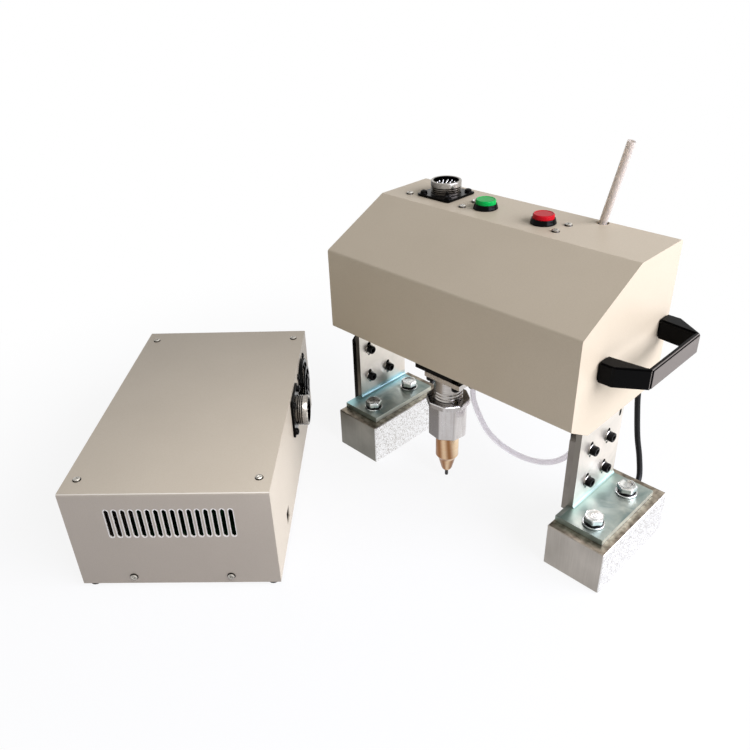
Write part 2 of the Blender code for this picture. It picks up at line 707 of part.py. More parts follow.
def make_feet():
    for side, face in FEET.items():
        left = face - BLOCK_OVERHANG
        rear = BLOCK_FRONT + BLOCK_LENGTH
        block = box((left, left + BLOCK_WIDTH), (BLOCK_FRONT, rear), (0.0, BLOCK_HEIGHT))
        gland_at = (face + GLAND_X, GLAND_Z)
        bolt_at = [(face + HEX_X, y) for y in HEX_Y]
        holes = [rod(HEX_SHANK + GAP, FLANGE_TOP - HEX_REACH - 2 * GAP, FLANGE_TOP, at) for at in bolt_at]
        holes.append(rod(GLAND_ROOT + GAP, rear - GLAND_ROOT_LENGTH - GAP, rear + OVERRUN, gland_at, "Y"))
        piece("magnet_block_" + side, cut(softened(block, BLOCK_EDGE), *holes), STEEL)

        back = face - PLATE
        upright = FLANGE_Z + BRACKET_HEIGHT
        bend = (face + INNER_BEND, FLANGE_TOP + INNER_BEND)
        outline = [(back, FLANGE_Z), (face + FLANGE_WIDTH, FLANGE_Z), (face + FLANGE_WIDTH, FLANGE_TOP)]
        outline += arc(bend, INNER_BEND, 270, 180, BEND_STEPS)
        outline += [(face, upright), (back, upright)]
        bracket = prism(outline, FLANGE_FRONT, LEG_REAR, "Y")
        through = (back - OVERRUN, face + OVERRUN)
        front_corner = box((back - OVERRUN, face + INNER_BEND), (FLANGE_FRONT - OVERRUN, LEG_FRONT),
                           (FLANGE_TOP, upright + OVERRUN))
        trims = [front_corner]
        for column in range(2):
            for row in range(3):
                rise = SLOT_RISE[side] + row * SLOT_PITCH_Z
                at = (SLOT_FRONT[side] + column * SLOT_PITCH_Y, FLANGE_TOP + rise)
                trims.append(prism(slot(SLOT_WIDTH, SLOT_LENGTH, at), *through, "X"))
        stop = slot(STOP_SLOT_WIDTH, SLOT_LENGTH, (STOP_SLOT_Y, FLANGE_TOP + STOP_SLOT_RISE))
        trims.append(prism(stop, *through, "X"))
        trims += [rod(HEX_SHANK + GAP, FLANGE_Z - OVERRUN, FLANGE_TOP + OVERRUN, at) for at in bolt_at]
        piece("foot_bracket_" + side, cut(bracket, *trims), ZINC)

        washer = FLANGE_TOP + GAP
        head = washer + HEX_WASHER_THICK
        tail = FLANGE_TOP - HEX_REACH
        for end, at in zip(("front", "rear"), bolt_at):
            shank = turned(((0.0, tail), (HEX_SHANK, tail), (HEX_SHANK, washer), (HEX_WASHER, washer),
                            (HEX_WASHER, head), (0.0, head)), ROUND, at)
            corner = HEX_FLATS / math.sqrt(3)
            hexagon = [(at[0] + x, at[1] + y) for x, y in arc((0.0, 0.0), corner, 0, 300, 5)]
            bolt = fused(shank, prism(hexagon, head - GAP, head + HEX_HEAD))
            piece("hex_bolt_%s_%s" % (side, end), bolt, ZINC)

        collar = rear + GAP
        gland = turned(((0.0, rear - GLAND_ROOT_LENGTH), (GLAND_ROOT, rear - GLAND_ROOT_LENGTH),
                        (GLAND_ROOT, collar), (GLAND, collar), (GLAND, collar + GLAND_LENGTH / 2),
                        (GLAND_ROOT, collar + GLAND_LENGTH), (0.0, collar + GLAND_LENGTH)),
                       SMALL_ROUND, gland_at, "Y")
        piece("lead_gland_" + side, gland, BLACK_PLASTIC)

        outside = [(face + x, y, z) for x, y, z in LEAD_ROUTE]
        points = smooth_route(outside + list(LEAD_INSIDE[side]), LEAD_STEP)
        cord("magnet_lead_" + side, points, LEAD, RUBBER)

    front = PLATE_REAR + GAP
    rear = front + STRIP_DEPTH
    low = BEAM_Z + STRIP_LIFT
    high = low + STRIP_HEIGHT
    strip = box((STRIP_LEFT, STRIP_LEFT + STRIP_LENGTH), (front, rear), (low, high))
    slots = []
    for i in range(1, STRIP_POLES):
        x = STRIP_LEFT + i * STRIP_LENGTH / STRIP_POLES
        slots.append(box((x - STRIP_SLOT / 2, x + STRIP_SLOT / 2), (rear - STRIP_SLOT, rear + OVERRUN),
                         ((low + high) / 2, high + OVERRUN)))
    piece("terminal_strip", cut(strip, *slots), BLACK_PLASTIC)


def make_x_drive():
    ends = (PLATE_LEFT + SHAFT_END, PLATE_RIGHT + PLATE - SHAFT_END)
    for name, y in (("x_shaft_front", SHAFT_FRONT), ("x_shaft_rear", SHAFT_REAR)):
        piece(name, rod(SHAFT, *ends, (y, SHAFT_Z), "X"), STEEL)
    back = PLATE_LEFT + PLATE + GAP
    face = back + MOTOR_LENGTH
    boss = face + MOTOR_BOSS_HEIGHT
    at = (SHAFT_REAR, SCREW_Z)
    body = prism(rounded(MOTOR, MOTOR, MOTOR_CORNER, at, 2), back, face, "X")
    boss_ring = tube(MOTOR_BOSS, MOTOR_SHAFT + GAP, face - MOTOR_BOSS_HEIGHT, boss, at, "X")
    bore = rod(MOTOR_SHAFT + GAP, face - MOTOR_BOSS_HEIGHT * 2, boss + OVERRUN, at, "X", ROUND)
    piece("x_motor", cut(fused(body, boss_ring), bore), MOTOR_STEEL)
    hub = boss + COUPLING_START
    hub_end = hub + COUPLING_LENGTH
    profile = ((0.0, face - MOTOR_BOSS_HEIGHT), (MOTOR_SHAFT, face - MOTOR_BOSS_HEIGHT), (MOTOR_SHAFT, hub),
               (COUPLING, hub), (COUPLING, hub_end), (SCREW, hub_end), (SCREW, ends[1]), (0.0, ends[1]))
    piece("x_lead_screw", turned(profile, SMALL_ROUND, at, "X"), STEEL, origin=(back, *at))


def make_x_carriage():
    front, rear = FRONT_BLOCK, REAR_BLOCK
    under = CARRIAGE_TOP - CARRIAGE_TIE
    outline = ((front[0], CARRIAGE_BOTTOM), (front[1], CARRIAGE_BOTTOM), (front[1], under), (rear[0], under),
               (rear[0], CARRIAGE_BOTTOM), (rear[1], CARRIAGE_BOTTOM), (rear[1], CARRIAGE_TOP),
               (front[0], CARRIAGE_TOP))
    sides = (CARRIAGE_X - CARRIAGE_HALF, CARRIAGE_X + CARRIAGE_HALF)
    saddle = prism(outline, *sides, "X")
    ear = (CARRIAGE_X - NUT_BRACKET_HALF, CARRIAGE_X + NUT_BRACKET_HALF)
    saddle = fused(saddle, box(ear, rear, (CARRIAGE_TOP - CARRIAGE_TIE / 2, NUT_BRACKET_TOP)))
    through = (sides[0] - OVERRUN, sides[1] + OVERRUN)
    holes = [rod(SHAFT + GAP, *through, (y, SHAFT_Z), "X") for y in (SHAFT_FRONT, SHAFT_REAR)]
    holes.append(rod(NUT + GAP, *through, (SHAFT_REAR, SCREW_Z), "X"))
    deep = (front[0] - OVERRUN, rear[1] + OVERRUN)
    for x in (CARRIAGE_X - RAIL_SPREAD, CARRIAGE_X + RAIL_SPREAD):
        holes.append(rod(RAIL + GAP, *deep, (x, RAIL_Z), "Y"))
    holes.append(rod(Y_SCREW + GAP, *deep, (CARRIAGE_X, Y_SCREW_Z), "Y"))
    saddle = cut(saddle, *holes)
    piece("x_carriage", saddle, ALUMINIUM, origin=(CARRIAGE_X, SHAFT_REAR, SHAFT_Z))

    ear_face = ear[0] - GAP
    nut = turned(((SCREW + GAP, ear_face - NUT_FLANGE_THICK), (NUT_FLANGE, ear_face - NUT_FLANGE_THICK),
                  (NUT_FLANGE, ear_face), (NUT, ear_face), (NUT, ear[1]), (SCREW + GAP, ear[1])),
                 SMALL_ROUND, (SHAFT_REAR, SCREW_Z), "X")
    piece("x_lead_nut", nut, BRASS)

    rail_ends = (front[0] + RAIL_END, rear[1] - RAIL_END)
    for name, x in (("y_rail_left", CARRIAGE_X - RAIL_SPREAD), ("y_rail_right", CARRIAGE_X + RAIL_SPREAD)):
        piece(name, rod(RAIL, *rail_ends, (x, RAIL_Z), "Y"), STEEL)

    at = (CARRIAGE_X, Y_SCREW_Z)
    motor_face = rear[1] + GAP
    motor_back = motor_face + Y_MOTOR_LENGTH
    motor_middle = (motor_face + motor_back) / 2
    body = prism(rounded(Y_MOTOR, Y_MOTOR, Y_MOTOR_CORNER, at, 2), motor_face, motor_back, "Y")
    bore = rod(Y_SCREW + GAP, motor_face - OVERRUN, motor_middle, at, "Y", ROUND)
    piece("y_motor", cut(body, bore), MOTOR_STEEL)
    screw_ends = (front[0] + RAIL_END, motor_middle - GAP)
    piece("y_lead_screw", rod(Y_SCREW, *screw_ends, at, "Y"), STEEL, origin=(at[0], rear[0], at[1]))


def make_y_carriage():
    """The slider on the rails, and the bracket under it that carries the stylus."""
    wide = (CARRIAGE_X - SLIDER_HALF, CARRIAGE_X + SLIDER_HALF)
    low, high = SLIDER_Z
    slider = box(wide, (SLIDER_FRONT, SLIDER_REAR), SLIDER_Z)
    deep = (SLIDER_FRONT - OVERRUN, SLIDER_REAR + OVERRUN)
    rails = (CARRIAGE_X - RAIL_SPREAD, CARRIAGE_X + RAIL_SPREAD)
    holes = [rod(RAIL + GAP, *deep, (x, RAIL_Z), "Y") for x in rails]
    holes.append(rod(Y_SCREW + GAP, *deep, (CARRIAGE_X, Y_SCREW_Z), "Y"))
    piece("y_slider", cut(slider, *holes), BLACK_ANODISED)

    web = SLIDER_REAR - WEB
    side = ((DECK_FRONT, DECK_Z[0]), (SLIDER_REAR, DECK_Z[0]), (SLIDER_REAR, low - GAP), (web, low - GAP),
            (web, DECK_Z[1]), (DECK_FRONT, DECK_Z[1]))
    bracket = prism(side, CARRIAGE_X - DECK_LEFT, CARRIAGE_X + DECK_RIGHT, "X")
    neck = rod(NECK + GAP, DECK_Z[0] - OVERRUN, DECK_Z[1] + OVERRUN, (CARRIAGE_X, STYLUS_Y), sides=ROUND)
    piece("stylus_bracket", cut(bracket, neck), BLACK_ANODISED)


def make_stylus():
    """The stylus on its own axis, and what holds it under the deck."""
    held = frame("stylus_frame", (CARRIAGE_X, STYLUS_Y, DECK_Z[0] - DECK_LEVEL), parent=HEAD)
    half = CLAMP_DEPTH / 2
    clamp = box((-CLAMP_LEFT, CLAMP_RIGHT), (-half, half), CLAMP_Z)
    through = (CLAMP_Z[0] - OVERRUN, CLAMP_Z[1] + OVERRUN)
    piece("stylus_clamp", cut(clamp, rod(NECK + GAP, *through, sides=ROUND)), ALUMINIUM, held)

    under = CLAMP_Z[0] - GAP
    fitting = turned(((0.0, ELBOW_Z), (ELBOW, ELBOW_Z), (ELBOW, ELBOW_HEX_Z), (ELBOW_HEX, ELBOW_HEX_Z),
                      (ELBOW_HEX, under), (0.0, under)), SMALL_ROUND, ELBOW_AT)
    piece("stylus_air_fitting", fitting, BLACK_PLASTIC, held)

    seat = RIM_TOP + GAP
    outer = [(SPIGOT, SPIGOT_Z), (SPIGOT, seat), (NECK, seat)]
    for i in range(THREAD_RINGS):
        z = seat + THREAD_PITCH * (i + 1 / 2)
        outer += [(NECK, z), (NECK - THREAD, z + THREAD)]
        outer += [(NECK - THREAD, z + 2 * THREAD), (NECK, z + 3 * THREAD)]
    outer += [(NECK, NECK_TOP), (0.0, NECK_TOP), (0.0, BORE_TOP)]
    outer += [(PISTON_BORE, BORE_TOP), (PISTON_BORE, SPIGOT_Z)]
    piece("stylus_body", turned(outer), ALUMINIUM, held)

    rim = ((RIM_CORNER, RIM_Z), (RIM_CORNER, RIM_TOP - RIM_STEP), (RIM_CORNER - RIM_STEP, RIM_TOP))
    cap = turned(((0.0, CAP_Z), (CAP_CORNER, CAP_Z), (CAP_CORNER, RIM_Z), *rim, (0.0, RIM_TOP)), CAP_SIDES)
    below, step, above = CAP_Z - OVERRUN, NOSE_TOP + GAP, RIM_TOP + OVERRUN
    hollow = turned(((0.0, below), (NOSE_SHANK + GAP, below), (NOSE_SHANK + GAP, step),
                     (SPIGOT + GAP, step), (SPIGOT + GAP, above), (0.0, above)))
    piece("stylus_cap", cut(cap, hollow), ALUMINIUM, held)

    shoulder = CAP_Z - GAP
    nose = turned(((PIN + GAP, NOSE_END_Z), (NOSE_END, NOSE_END_Z), (NOSE_TIP, NOSE_TIP_Z),
                   (NOSE_WAIST, NOSE_WAIST_Z), (NOSE, NOSE_CONE_Z), (NOSE, shoulder), (NOSE_SHANK, shoulder),
                   (NOSE_SHANK, NOSE_TOP), (NOSE_CHAMBER, NOSE_TOP), (NOSE_CHAMBER, SPRING_SEAT_Z),
                   (PIN + GAP, SPRING_SEAT_Z)))
    piece("stylus_nose", nose, BRASS, held)

    pin = turned(((0.0, TIP_Z), (TIP_FLAT, TIP_Z), (PIN, TIP_Z + TIP_CONE), (PIN, PISTON_Z[0]),
                  (PISTON, PISTON_Z[0]), (PISTON, PISTON_Z[1]), (0.0, PISTON_Z[1])), SMALL_ROUND)
    piece("marking_pin", pin, DARK_STEEL, held, (0.0, 0.0, TIP_Z))

    low = SPRING_SEAT_Z + SPRING_WIRE + GAP
    high = PISTON_Z[0] - SPRING_WIRE - GAP
    steps = SPRING_TURNS * SPRING_POINTS
    coil = []
    for i in range(steps + 1):
        angle = 2 * math.pi * i / SPRING_POINTS
        rise = low + (high - low) * i / steps
        coil.append((SPRING_RADIUS * math.cos(angle), SPRING_RADIUS * math.sin(angle), rise))
    cord("return_spring", coil, SPRING_WIRE, STEEL, held, resolution=1)
    apart = [math.dist(coil[i], coil[i + SPRING_POINTS]) for i in range(len(coil) - SPRING_POINTS)]
    print("return spring: least gap between turns %.4f m" % (min(apart) - 2 * SPRING_WIRE))


def make_air():
    wall = PLATE_RIGHT - GAP
    low, high = VALVE_Z
    body = box((wall - VALVE_WIDTH, wall), VALVE_Y, VALVE_Z)
    outlet = rod(VALVE_PORT, low - OUTLET_REACH, low + OVERRUN, (PLATE_RIGHT - OUTLET_INSET, PORT_Y))
    inlet = rod(VALVE_PORT, high - OVERRUN, high + INLET_REACH, (PLATE_RIGHT - INLET_INSET, PORT_Y))
    coil_at = (wall - VALVE_WIDTH / 2, (low + high) / 2)
    coil = rod(VALVE_COIL, VALVE_Y[1] - OVERRUN, VALVE_Y[1] + VALVE_COIL, coil_at, "Y", ROUND)
    piece("solenoid_valve", fused(body, outlet, inlet, coil), BLACK_PLASTIC)
    cord("air_loop_tube", smooth_route(LOOP_ROUTE, LOOP_STEP), TUBE, CLEAR_TUBE)
    cord("air_hose", smooth_route(HOSE_ROUTE, HOSE_STEP), HOSE, CLEAR_TUBE)


def make_buttons():
    seat = HOOD_TOP + GAP
    for colour, look in (("green", GREEN_LENS), ("red", RED_LENS)):
        at = (BUTTON_X[colour], BUTTON_Y)
        bezel_top = seat + BEZEL_HEIGHT
        floor = seat + CAP_FLOOR
        bottom = HOOD_TOP - SHEET - BUTTON_DEPTH
        half = (SWITCH_WIDTH / 2, SWITCH_DEPTH / 2)
        switch = box((at[0] - half[0], at[0] + half[0]), (at[1] - half[1], at[1] + half[1]),
                     (bottom - SWITCH_HEIGHT, bottom + SHEET))
        ring = turned(((0.0, bottom), (BUTTON_BODY, bottom), (BUTTON_BODY, seat), (BEZEL, seat),
                       (BEZEL, bezel_top - BEZEL_LIP), (BEZEL - BEZEL_LIP, bezel_top),
                       (BUTTON_CAP + GAP, bezel_top), (BUTTON_CAP + GAP, floor), (0.0, floor)), ROUND, at)
        well = rod(BUTTON_STEM + GAP, seat - STEM_LENGTH - BUTTON_TRAVEL - CAP_FLOOR, floor + OVERRUN, at)
        piece(colour + "_button_bezel", fused(cut(ring, well), switch), BLACK_PLASTIC)

        low = floor + BUTTON_TRAVEL + GAP
        high = bezel_top + CAP_HEIGHT
        cap = turned(((0.0, seat - STEM_LENGTH), (BUTTON_STEM, seat - STEM_LENGTH), (BUTTON_STEM, low),
                      (BUTTON_CAP, low), (BUTTON_CAP, high - 2 * CAP_SHOULDER),
                      (BUTTON_CAP - CAP_SHOULDER / 2, high - CAP_SHOULDER),
                      (BUTTON_CAP - 2 * CAP_SHOULDER, high), (0.0, high)), ROUND, at)
        piece(colour + "_button_cap", cap, look, origin=(*at, low))


def socket_shell():
    """The socket's flange and barrel, standing on a panel at height zero."""
    seat = GAP
    flange = prism(rounded(2 * SOCKET_HALF, 2 * SOCKET_HALF, SOCKET_CORNER), seat, seat + SOCKET_FLANGE)
    outer = [(SOCKET_BORE, seat), (SOCKET_BARREL, seat)]
    first = seat + SOCKET_HEIGHT / 3
    for i in range(SOCKET_RINGS):
        z = first + i * 3 * SOCKET_GROOVE
        outer += [(SOCKET_BARREL, z), (SOCKET_BARREL - SOCKET_GROOVE, z + SOCKET_GROOVE),
                  (SOCKET_BARREL, z + 2 * SOCKET_GROOVE)]
    outer += [(SOCKET_BARREL, SOCKET_HEIGHT - SOCKET_GROOVE), (SOCKET_BARREL - SOCKET_GROOVE, SOCKET_HEIGHT)]
    outer += [(SOCKET_BORE, SOCKET_HEIGHT)]
    barrel = turned(outer)
    back = tube(SOCKET_BACK, SOCKET_BORE, -SOCKET_BACK_DEPTH, seat + SOCKET_FLANGE / 2)
    bore = rod(SOCKET_BORE, seat - OVERRUN, seat + SOCKET_FLANGE + OVERRUN, sides=ROUND)
    at = SOCKET_SCREW_AT
    screws = [rod(SOCKET_SCREW, seat - OVERRUN, seat + SOCKET_FLANGE + OVERRUN, (x, y))
              for x in (-at, at) for y in (-at, at)]
    return fused(cut(flange, bore, *screws), barrel, back)


def socket_insert():
    """The insulator with its contacts."""
    face = INSERT_TOP
    disc = rod(SOCKET_BORE - GAP, face - INSERT_THICK, face, sides=ROUND)
    pins = []
    for radius, count in CONTACT_RINGS:
        for i in range(count):
            angle = 2 * math.pi * i / count
            at = (radius * math.cos(angle), radius * math.sin(angle))
            pins.append(rod(CONTACT, face - OVERRUN, face + CONTACT_LENGTH, at, sides=6))
    return boolean(disc, joined(*pins), "UNION")


def make_sockets():
    shell, insert = socket_shell(), socket_insert()
    on_hood = (*SOCKET_AT, HOOD_TOP)
    on_case = (CASE_WIDTH, CASE_SOCKET[0], CASE_SOCKET[1])
    for name, mesh, look in (("shell", shell, DARK_STEEL), ("insert", insert, BLACK_PLASTIC)):
        head_piece = piece("head_socket_" + name, mesh, look)
        head_piece.location = on_hood
        case_piece = piece("case_socket_" + name, mesh, look, CASE)
        case_piece.location = on_case
        case_piece.rotation_euler = (0.0, math.pi / 2, 0.0)


def make_handles():
    front, rear = HANDLE_FRONT, HOOD_DEPTH - HANDLE_INSET
    low = FRONT_EDGE_Z + HANDLE_RISE
    reach, straight = HANDLE_REACH, HANDLE_STRAIGHT
    inner, lean = reach - HANDLE_GRIP, HANDLE_LEAN + HANDLE_GRIP / 3
    outline = [(0.0, front), (straight, front), (reach, front + HANDLE_LEAN), (reach, rear - HANDLE_LEAN),
               (straight, rear), (0.0, rear), (0.0, rear - HANDLE_BASE), (inner, rear - lean),
               (inner, front + lean), (0.0, front + HANDLE_BASE)]
    for side, wall, out in (("right", HOOD_LENGTH + GAP, 1), ("left", -GAP, -1)):
        shape = prism([(wall + out * x, y) for x, y in outline], low, low + HANDLE_HEIGHT)
        piece("handle_" + side, softened(shape, HANDLE_EDGE, 2), BLACK_PLASTIC)


def make_case():
    bottom, top = FOOT_HEIGHT, CASE_TOP
    far, wide = CASE_LENGTH, CASE_WIDTH
    sheet, bend = CASE_SHEET, CASE_BEND
    cover = [(0.0, bottom)] + arc((bend, top - bend), bend, 180, 90, BEND_STEPS)
    cover += arc((far - bend, top - bend), bend, 90, 0, BEND_STEPS) + [(far, bottom)]
    cover += [(far - sheet, bottom), (far - sheet, top - sheet), (sheet, top - sheet), (sheet, bottom)]
    vents = []
    span = wide - VENT_RIGHT - VENT_LEFT
    for i in range(VENTS):
        middle = (VENT_LEFT + span * i / (VENTS - 1), top - VENT_DROP - VENT_LENGTH / 2)
        vents.append(prism(slot(VENT_WIDTH, VENT_LENGTH, middle, 2), -OVERRUN, sheet + OVERRUN, "Y"))
    piece("case_cover", cut(prism(cover, 0.0, wide, "X"), *vents), COAT, CASE)

    lid = top - sheet - GAP
    base = [(0.0, bottom), (wide, bottom), (wide, lid), (wide - sheet, lid), (wide - sheet, bottom + sheet),
            (sheet, bottom + sheet), (sheet, lid), (0.0, lid)]
    through = (wide - sheet - OVERRUN, wide + OVERRUN)
    openings = [rod(SOCKET_HOLE, *through, CASE_SOCKET, "X", ROUND)]
    openings.append(rod(FAN_OPENING, *through, FAN_AT, "X", ROUND))
    openings.append(box(through, (PORT_AT[0] - PORT_HALF, PORT_AT[0] + PORT_HALF),
                        (PORT_AT[1] - PORT_HALF, PORT_AT[1] + PORT_HALF)))
    panel = prism(base, sheet + GAP, far - sheet - GAP, "Y")
    piece("case_base", cut(panel, *openings), COAT, CASE)

    for across, x in (("left", FOOT_INSET), ("right", wide - FOOT_INSET)):
        for along, y in (("front", FOOT_INSET), ("rear", far - FOOT_INSET)):
            foot = turned(((0.0, 0.0), (FOOT - bend / 2, 0.0), (FOOT, bend), (FOOT, bottom - GAP),
                           (0.0, bottom - GAP)), SMALL_ROUND, (x, y))
            piece("case_foot_%s_%s" % (along, across), foot, RUBBER, CASE)


def make_case_inside():
    floor = FOOT_HEIGHT + CASE_SHEET + GAP
    front = CASE_LENGTH - SUPPLY_INSET - SUPPLY_LENGTH
    supply = box((SUPPLY_LEFT, SUPPLY_LEFT + SUPPLY_WIDTH), (front, front + SUPPLY_LENGTH),
                 (floor, floor + SUPPLY_HEIGHT))
    piece("power_supply", supply, ALUMINIUM, CASE)

    x, y, wide, thick = BOARD_LEFT, BOARD_FRONT, BOARD_WIDTH, BOARD_THICK
    deep = front - BOARD_SPACE - y
    level = floor + STANDOFF_HEIGHT
    board = box((x, x + wide), (y, y + deep), (level, level + thick))
    corners = [(px, py) for px in (x + 2 * STANDOFF, x + wide - 2 * STANDOFF)
               for py in (y + 2 * STANDOFF, y + deep - 2 * STANDOFF)]
    posts = [rod(STANDOFF, floor, level + thick / 2, corner, sides=8) for corner in corners]
    parts = []
    for (left_share, right_share, front_share, back_share), height in zip(CHIP_SHARES, CHIP_HEIGHTS):
        across = (x + wide * left_share, x + wide * right_share)
        along = (y + deep * front_share, y + deep * back_share)
        parts.append(box(across, along, (level + thick / 2, level + thick + height)))
    piece("driver_board", boolean(board, joined(*posts, *parts), "UNION"), BOARD_GREEN, CASE)


def make_fan():
    along, height = FAN_AT
    wall = CASE_WIDTH - CASE_SHEET - GAP
    back = wall - FAN_DEPTH
    square = prism(rounded(2 * FAN_HALF, 2 * FAN_HALF, FAN_CORNER, FAN_AT, 2), back, wall, "X")
    ring = cut(square, rod(FAN_BORE, back - OVERRUN, wall + OVERRUN, FAN_AT, "X", ROUND))
    hub = rod(FAN_MOUNT, back, back + MOUNT_DEPTH, FAN_AT, "X")
    reach = FAN_BORE + OVERRUN / 2
    arms = box((back, back + MOUNT_DEPTH), (along - reach, along + reach),
               (height - FAN_ARM / 2, height + FAN_ARM / 2))
    stays = box((back, back + MOUNT_DEPTH), (along - FAN_ARM / 2, along + FAN_ARM / 2),
                (height - reach, height + reach))
    bore = rod(ROTOR_AXLE + GAP, back - OVERRUN, back + MOUNT_DEPTH + OVERRUN, FAN_AT, "X")
    piece("fan_frame", cut(fused(ring, arms, stays, hub), bore), BLACK_PLASTIC, CASE)

    start = back + MOUNT_DEPTH + 2 * GAP
    axle = turned(((0.0, back + GAP), (ROTOR_AXLE, back + GAP), (ROTOR_AXLE, start), (ROTOR_HUB, start),
                   (ROTOR_HUB, start + ROTOR_DEPTH), (0.0, start + ROTOR_DEPTH)), ROUND, FAN_AT, "X")
    middle = start + ROTOR_DEPTH / 2
    half = ROTOR_DEPTH / 2 * BLADE_SHARE
    rotor = axle
    for i in range(ROTOR_BLADES):
        blade = box((-half, half), (-BLADE_THICK / 2, BLADE_THICK / 2),
                    (ROTOR_HUB - OVERRUN / 2, ROTOR_BLADE))
        blade.transform(Matrix.Rotation(BLADE_PITCH, 4, "Z"))
        blade.transform(Matrix.Rotation(2 * math.pi * i / ROTOR_BLADES, 4, "X"))
        blade.transform(Matrix.Translation((middle, along, height)))
        rotor = fused(rotor, blade)
    piece("fan_rotor", rotor, BLACK_PLASTIC, CASE, origin=(middle, along, height))

    face = CASE_WIDTH + GAP
    rise = GUARD_RISE
    guard = turned(((GUARD - GUARD_RIM, face), (GUARD, face), (GUARD, face + rise / 2),
                    (GUARD - GUARD_RIM, face + rise / 2)), ROUND, FAN_AT, "X")
    for radius_share, rise_share in GUARD_RING_SHARES:
        radius = GUARD * radius_share
        high = face + rise * rise_share
        ring = turned(((radius - GUARD_BAR, high - GUARD_BAR), (radius + GUARD_BAR, high - GUARD_BAR),
                       (radius + GUARD_BAR, high), (radius - GUARD_BAR, high)), ROUND, FAN_AT, "X")
        guard = boolean(guard, ring, "UNION")
    rim = GUARD - GUARD_RIM / 2
    crown = face + rise
    spoke = [(crown - GUARD_BAR, -rim / 3), (face + rise / 2 - GUARD_BAR, -rim), (face + rise / 2, -rim),
             (crown, -rim / 3), (crown, rim / 3), (face + rise / 2, rim), (face + rise / 2 - GUARD_BAR, rim),
             (crown - GUARD_BAR, rim / 3)]
    first = prism([(p, along + q) for p, q in spoke], height - GUARD_BAR / 2, height + GUARD_BAR / 2, "Z")
    second = prism([(p, height + q) for p, q in spoke], along - GUARD_BAR / 2, along + GUARD_BAR / 2, "Y")
    piece("fan_guard", fused(guard, first, second), BLACK_PLASTIC, CASE)


make_hood()
make_chassis()
make_feet()
make_x_drive()
make_x_carriage()
make_y_carriage()
make_stylus()
make_air()
make_buttons()
make_sockets()
make_handles()
make_case()
make_case_inside()
make_fan()
bpy.context.view_layer.update()
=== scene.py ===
# %% [markdown]
# # Dressing a nameplate marking machine
#
# The machine is a marking head on two magnet feet, and the controller box that drives it.
# The solids come from CAD and stay where they are. This script gives every solid its finish,
# adds the small parts that a CAD model leaves out, and sets up the picture.
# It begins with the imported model, because every new piece takes its place from that model.

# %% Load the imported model
import json
import math
import bmesh
import bpy
import numpy as np
from mathutils import Matrix, Vector

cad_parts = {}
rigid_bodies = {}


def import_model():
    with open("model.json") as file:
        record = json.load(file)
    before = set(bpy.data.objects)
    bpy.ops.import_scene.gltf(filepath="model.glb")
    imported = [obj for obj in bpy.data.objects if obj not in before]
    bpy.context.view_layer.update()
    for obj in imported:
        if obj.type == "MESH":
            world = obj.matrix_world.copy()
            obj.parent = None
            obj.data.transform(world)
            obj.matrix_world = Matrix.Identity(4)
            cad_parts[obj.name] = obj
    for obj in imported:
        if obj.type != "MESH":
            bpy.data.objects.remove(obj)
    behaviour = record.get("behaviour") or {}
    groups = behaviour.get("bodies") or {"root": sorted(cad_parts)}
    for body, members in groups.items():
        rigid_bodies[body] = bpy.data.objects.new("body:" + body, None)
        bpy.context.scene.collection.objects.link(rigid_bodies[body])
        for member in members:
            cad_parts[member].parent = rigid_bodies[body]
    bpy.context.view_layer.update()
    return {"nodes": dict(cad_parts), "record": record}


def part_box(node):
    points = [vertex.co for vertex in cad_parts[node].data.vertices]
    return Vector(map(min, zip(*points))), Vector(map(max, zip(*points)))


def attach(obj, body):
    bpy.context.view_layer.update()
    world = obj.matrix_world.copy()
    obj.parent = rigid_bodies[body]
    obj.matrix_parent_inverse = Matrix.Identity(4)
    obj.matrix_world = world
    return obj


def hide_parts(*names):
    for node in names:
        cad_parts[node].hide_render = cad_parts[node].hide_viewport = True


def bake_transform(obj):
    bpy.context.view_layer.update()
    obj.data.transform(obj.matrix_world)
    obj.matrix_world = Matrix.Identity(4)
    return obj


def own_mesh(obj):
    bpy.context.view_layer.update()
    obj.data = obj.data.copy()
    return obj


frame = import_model()
node = frame["nodes"]

# %% [markdown]
# The drawing of the head counts millimetres from the hood's left front corner on the floor:
# x runs along the hood, y goes to the back and z goes up. The controller has the same kind of
# drawing of its own, and stands turned on the bench. Two small functions turn a drawing's
# millimetres into places in the model, so that every size below can be read off with a ruler.
# A few measures of the drawings serve in several steps: the heights of the two tops, the
# controller's width and depth, and where the outer faces of the foot brackets stand.

# %% The two drawings
MM = 0.001
HOOD_CORNER = np.array([*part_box("hood")[0][:2], 0.0])
CASE_CORNER = HOOD_CORNER + np.array([-2.0, -335.3, 0.0]) * MM
CASE_TURN = math.radians(44.0)
CASE_ALONG = np.array([math.cos(CASE_TURN), math.sin(CASE_TURN), 0.0])
CASE_DEEP = np.array([-math.sin(CASE_TURN), math.cos(CASE_TURN), 0.0])
UP = np.array([0.0, 0.0, 1.0])
HOOD_TOP = 289.5
CASE_TOP = 115.6
CASE_WIDE = 192.0
CASE_DEPTH = 310.0
BRACKET_FACE = {"left": 14.6, "right": 307.4}


def on_head(x, y, z):
    """A place on the head's drawing, in metres: the hood's corner plus the millimetres."""
    return HOOD_CORNER + np.array([x, y, z]) * MM


def on_case(x, y, z):
    """A place on the controller's drawing: its corner plus x and y along its own turned sides."""
    return CASE_CORNER + (x * CASE_ALONG + y * CASE_DEEP + z * UP) * MM


print("hood corner", HOOD_CORNER.round(4), "case corner", CASE_CORNER.round(4))

# %% [markdown]
# The camera stands where the photograph was taken from. Its place and its three angles were
# found by matching the hood's and the controller's straight edges in the photograph. The lens
# is the focal length in pixels, turned into millimetres on a 36 mm sensor. The camera looks
# along its own minus Z, so its matrix has the right, up and backward directions as columns.

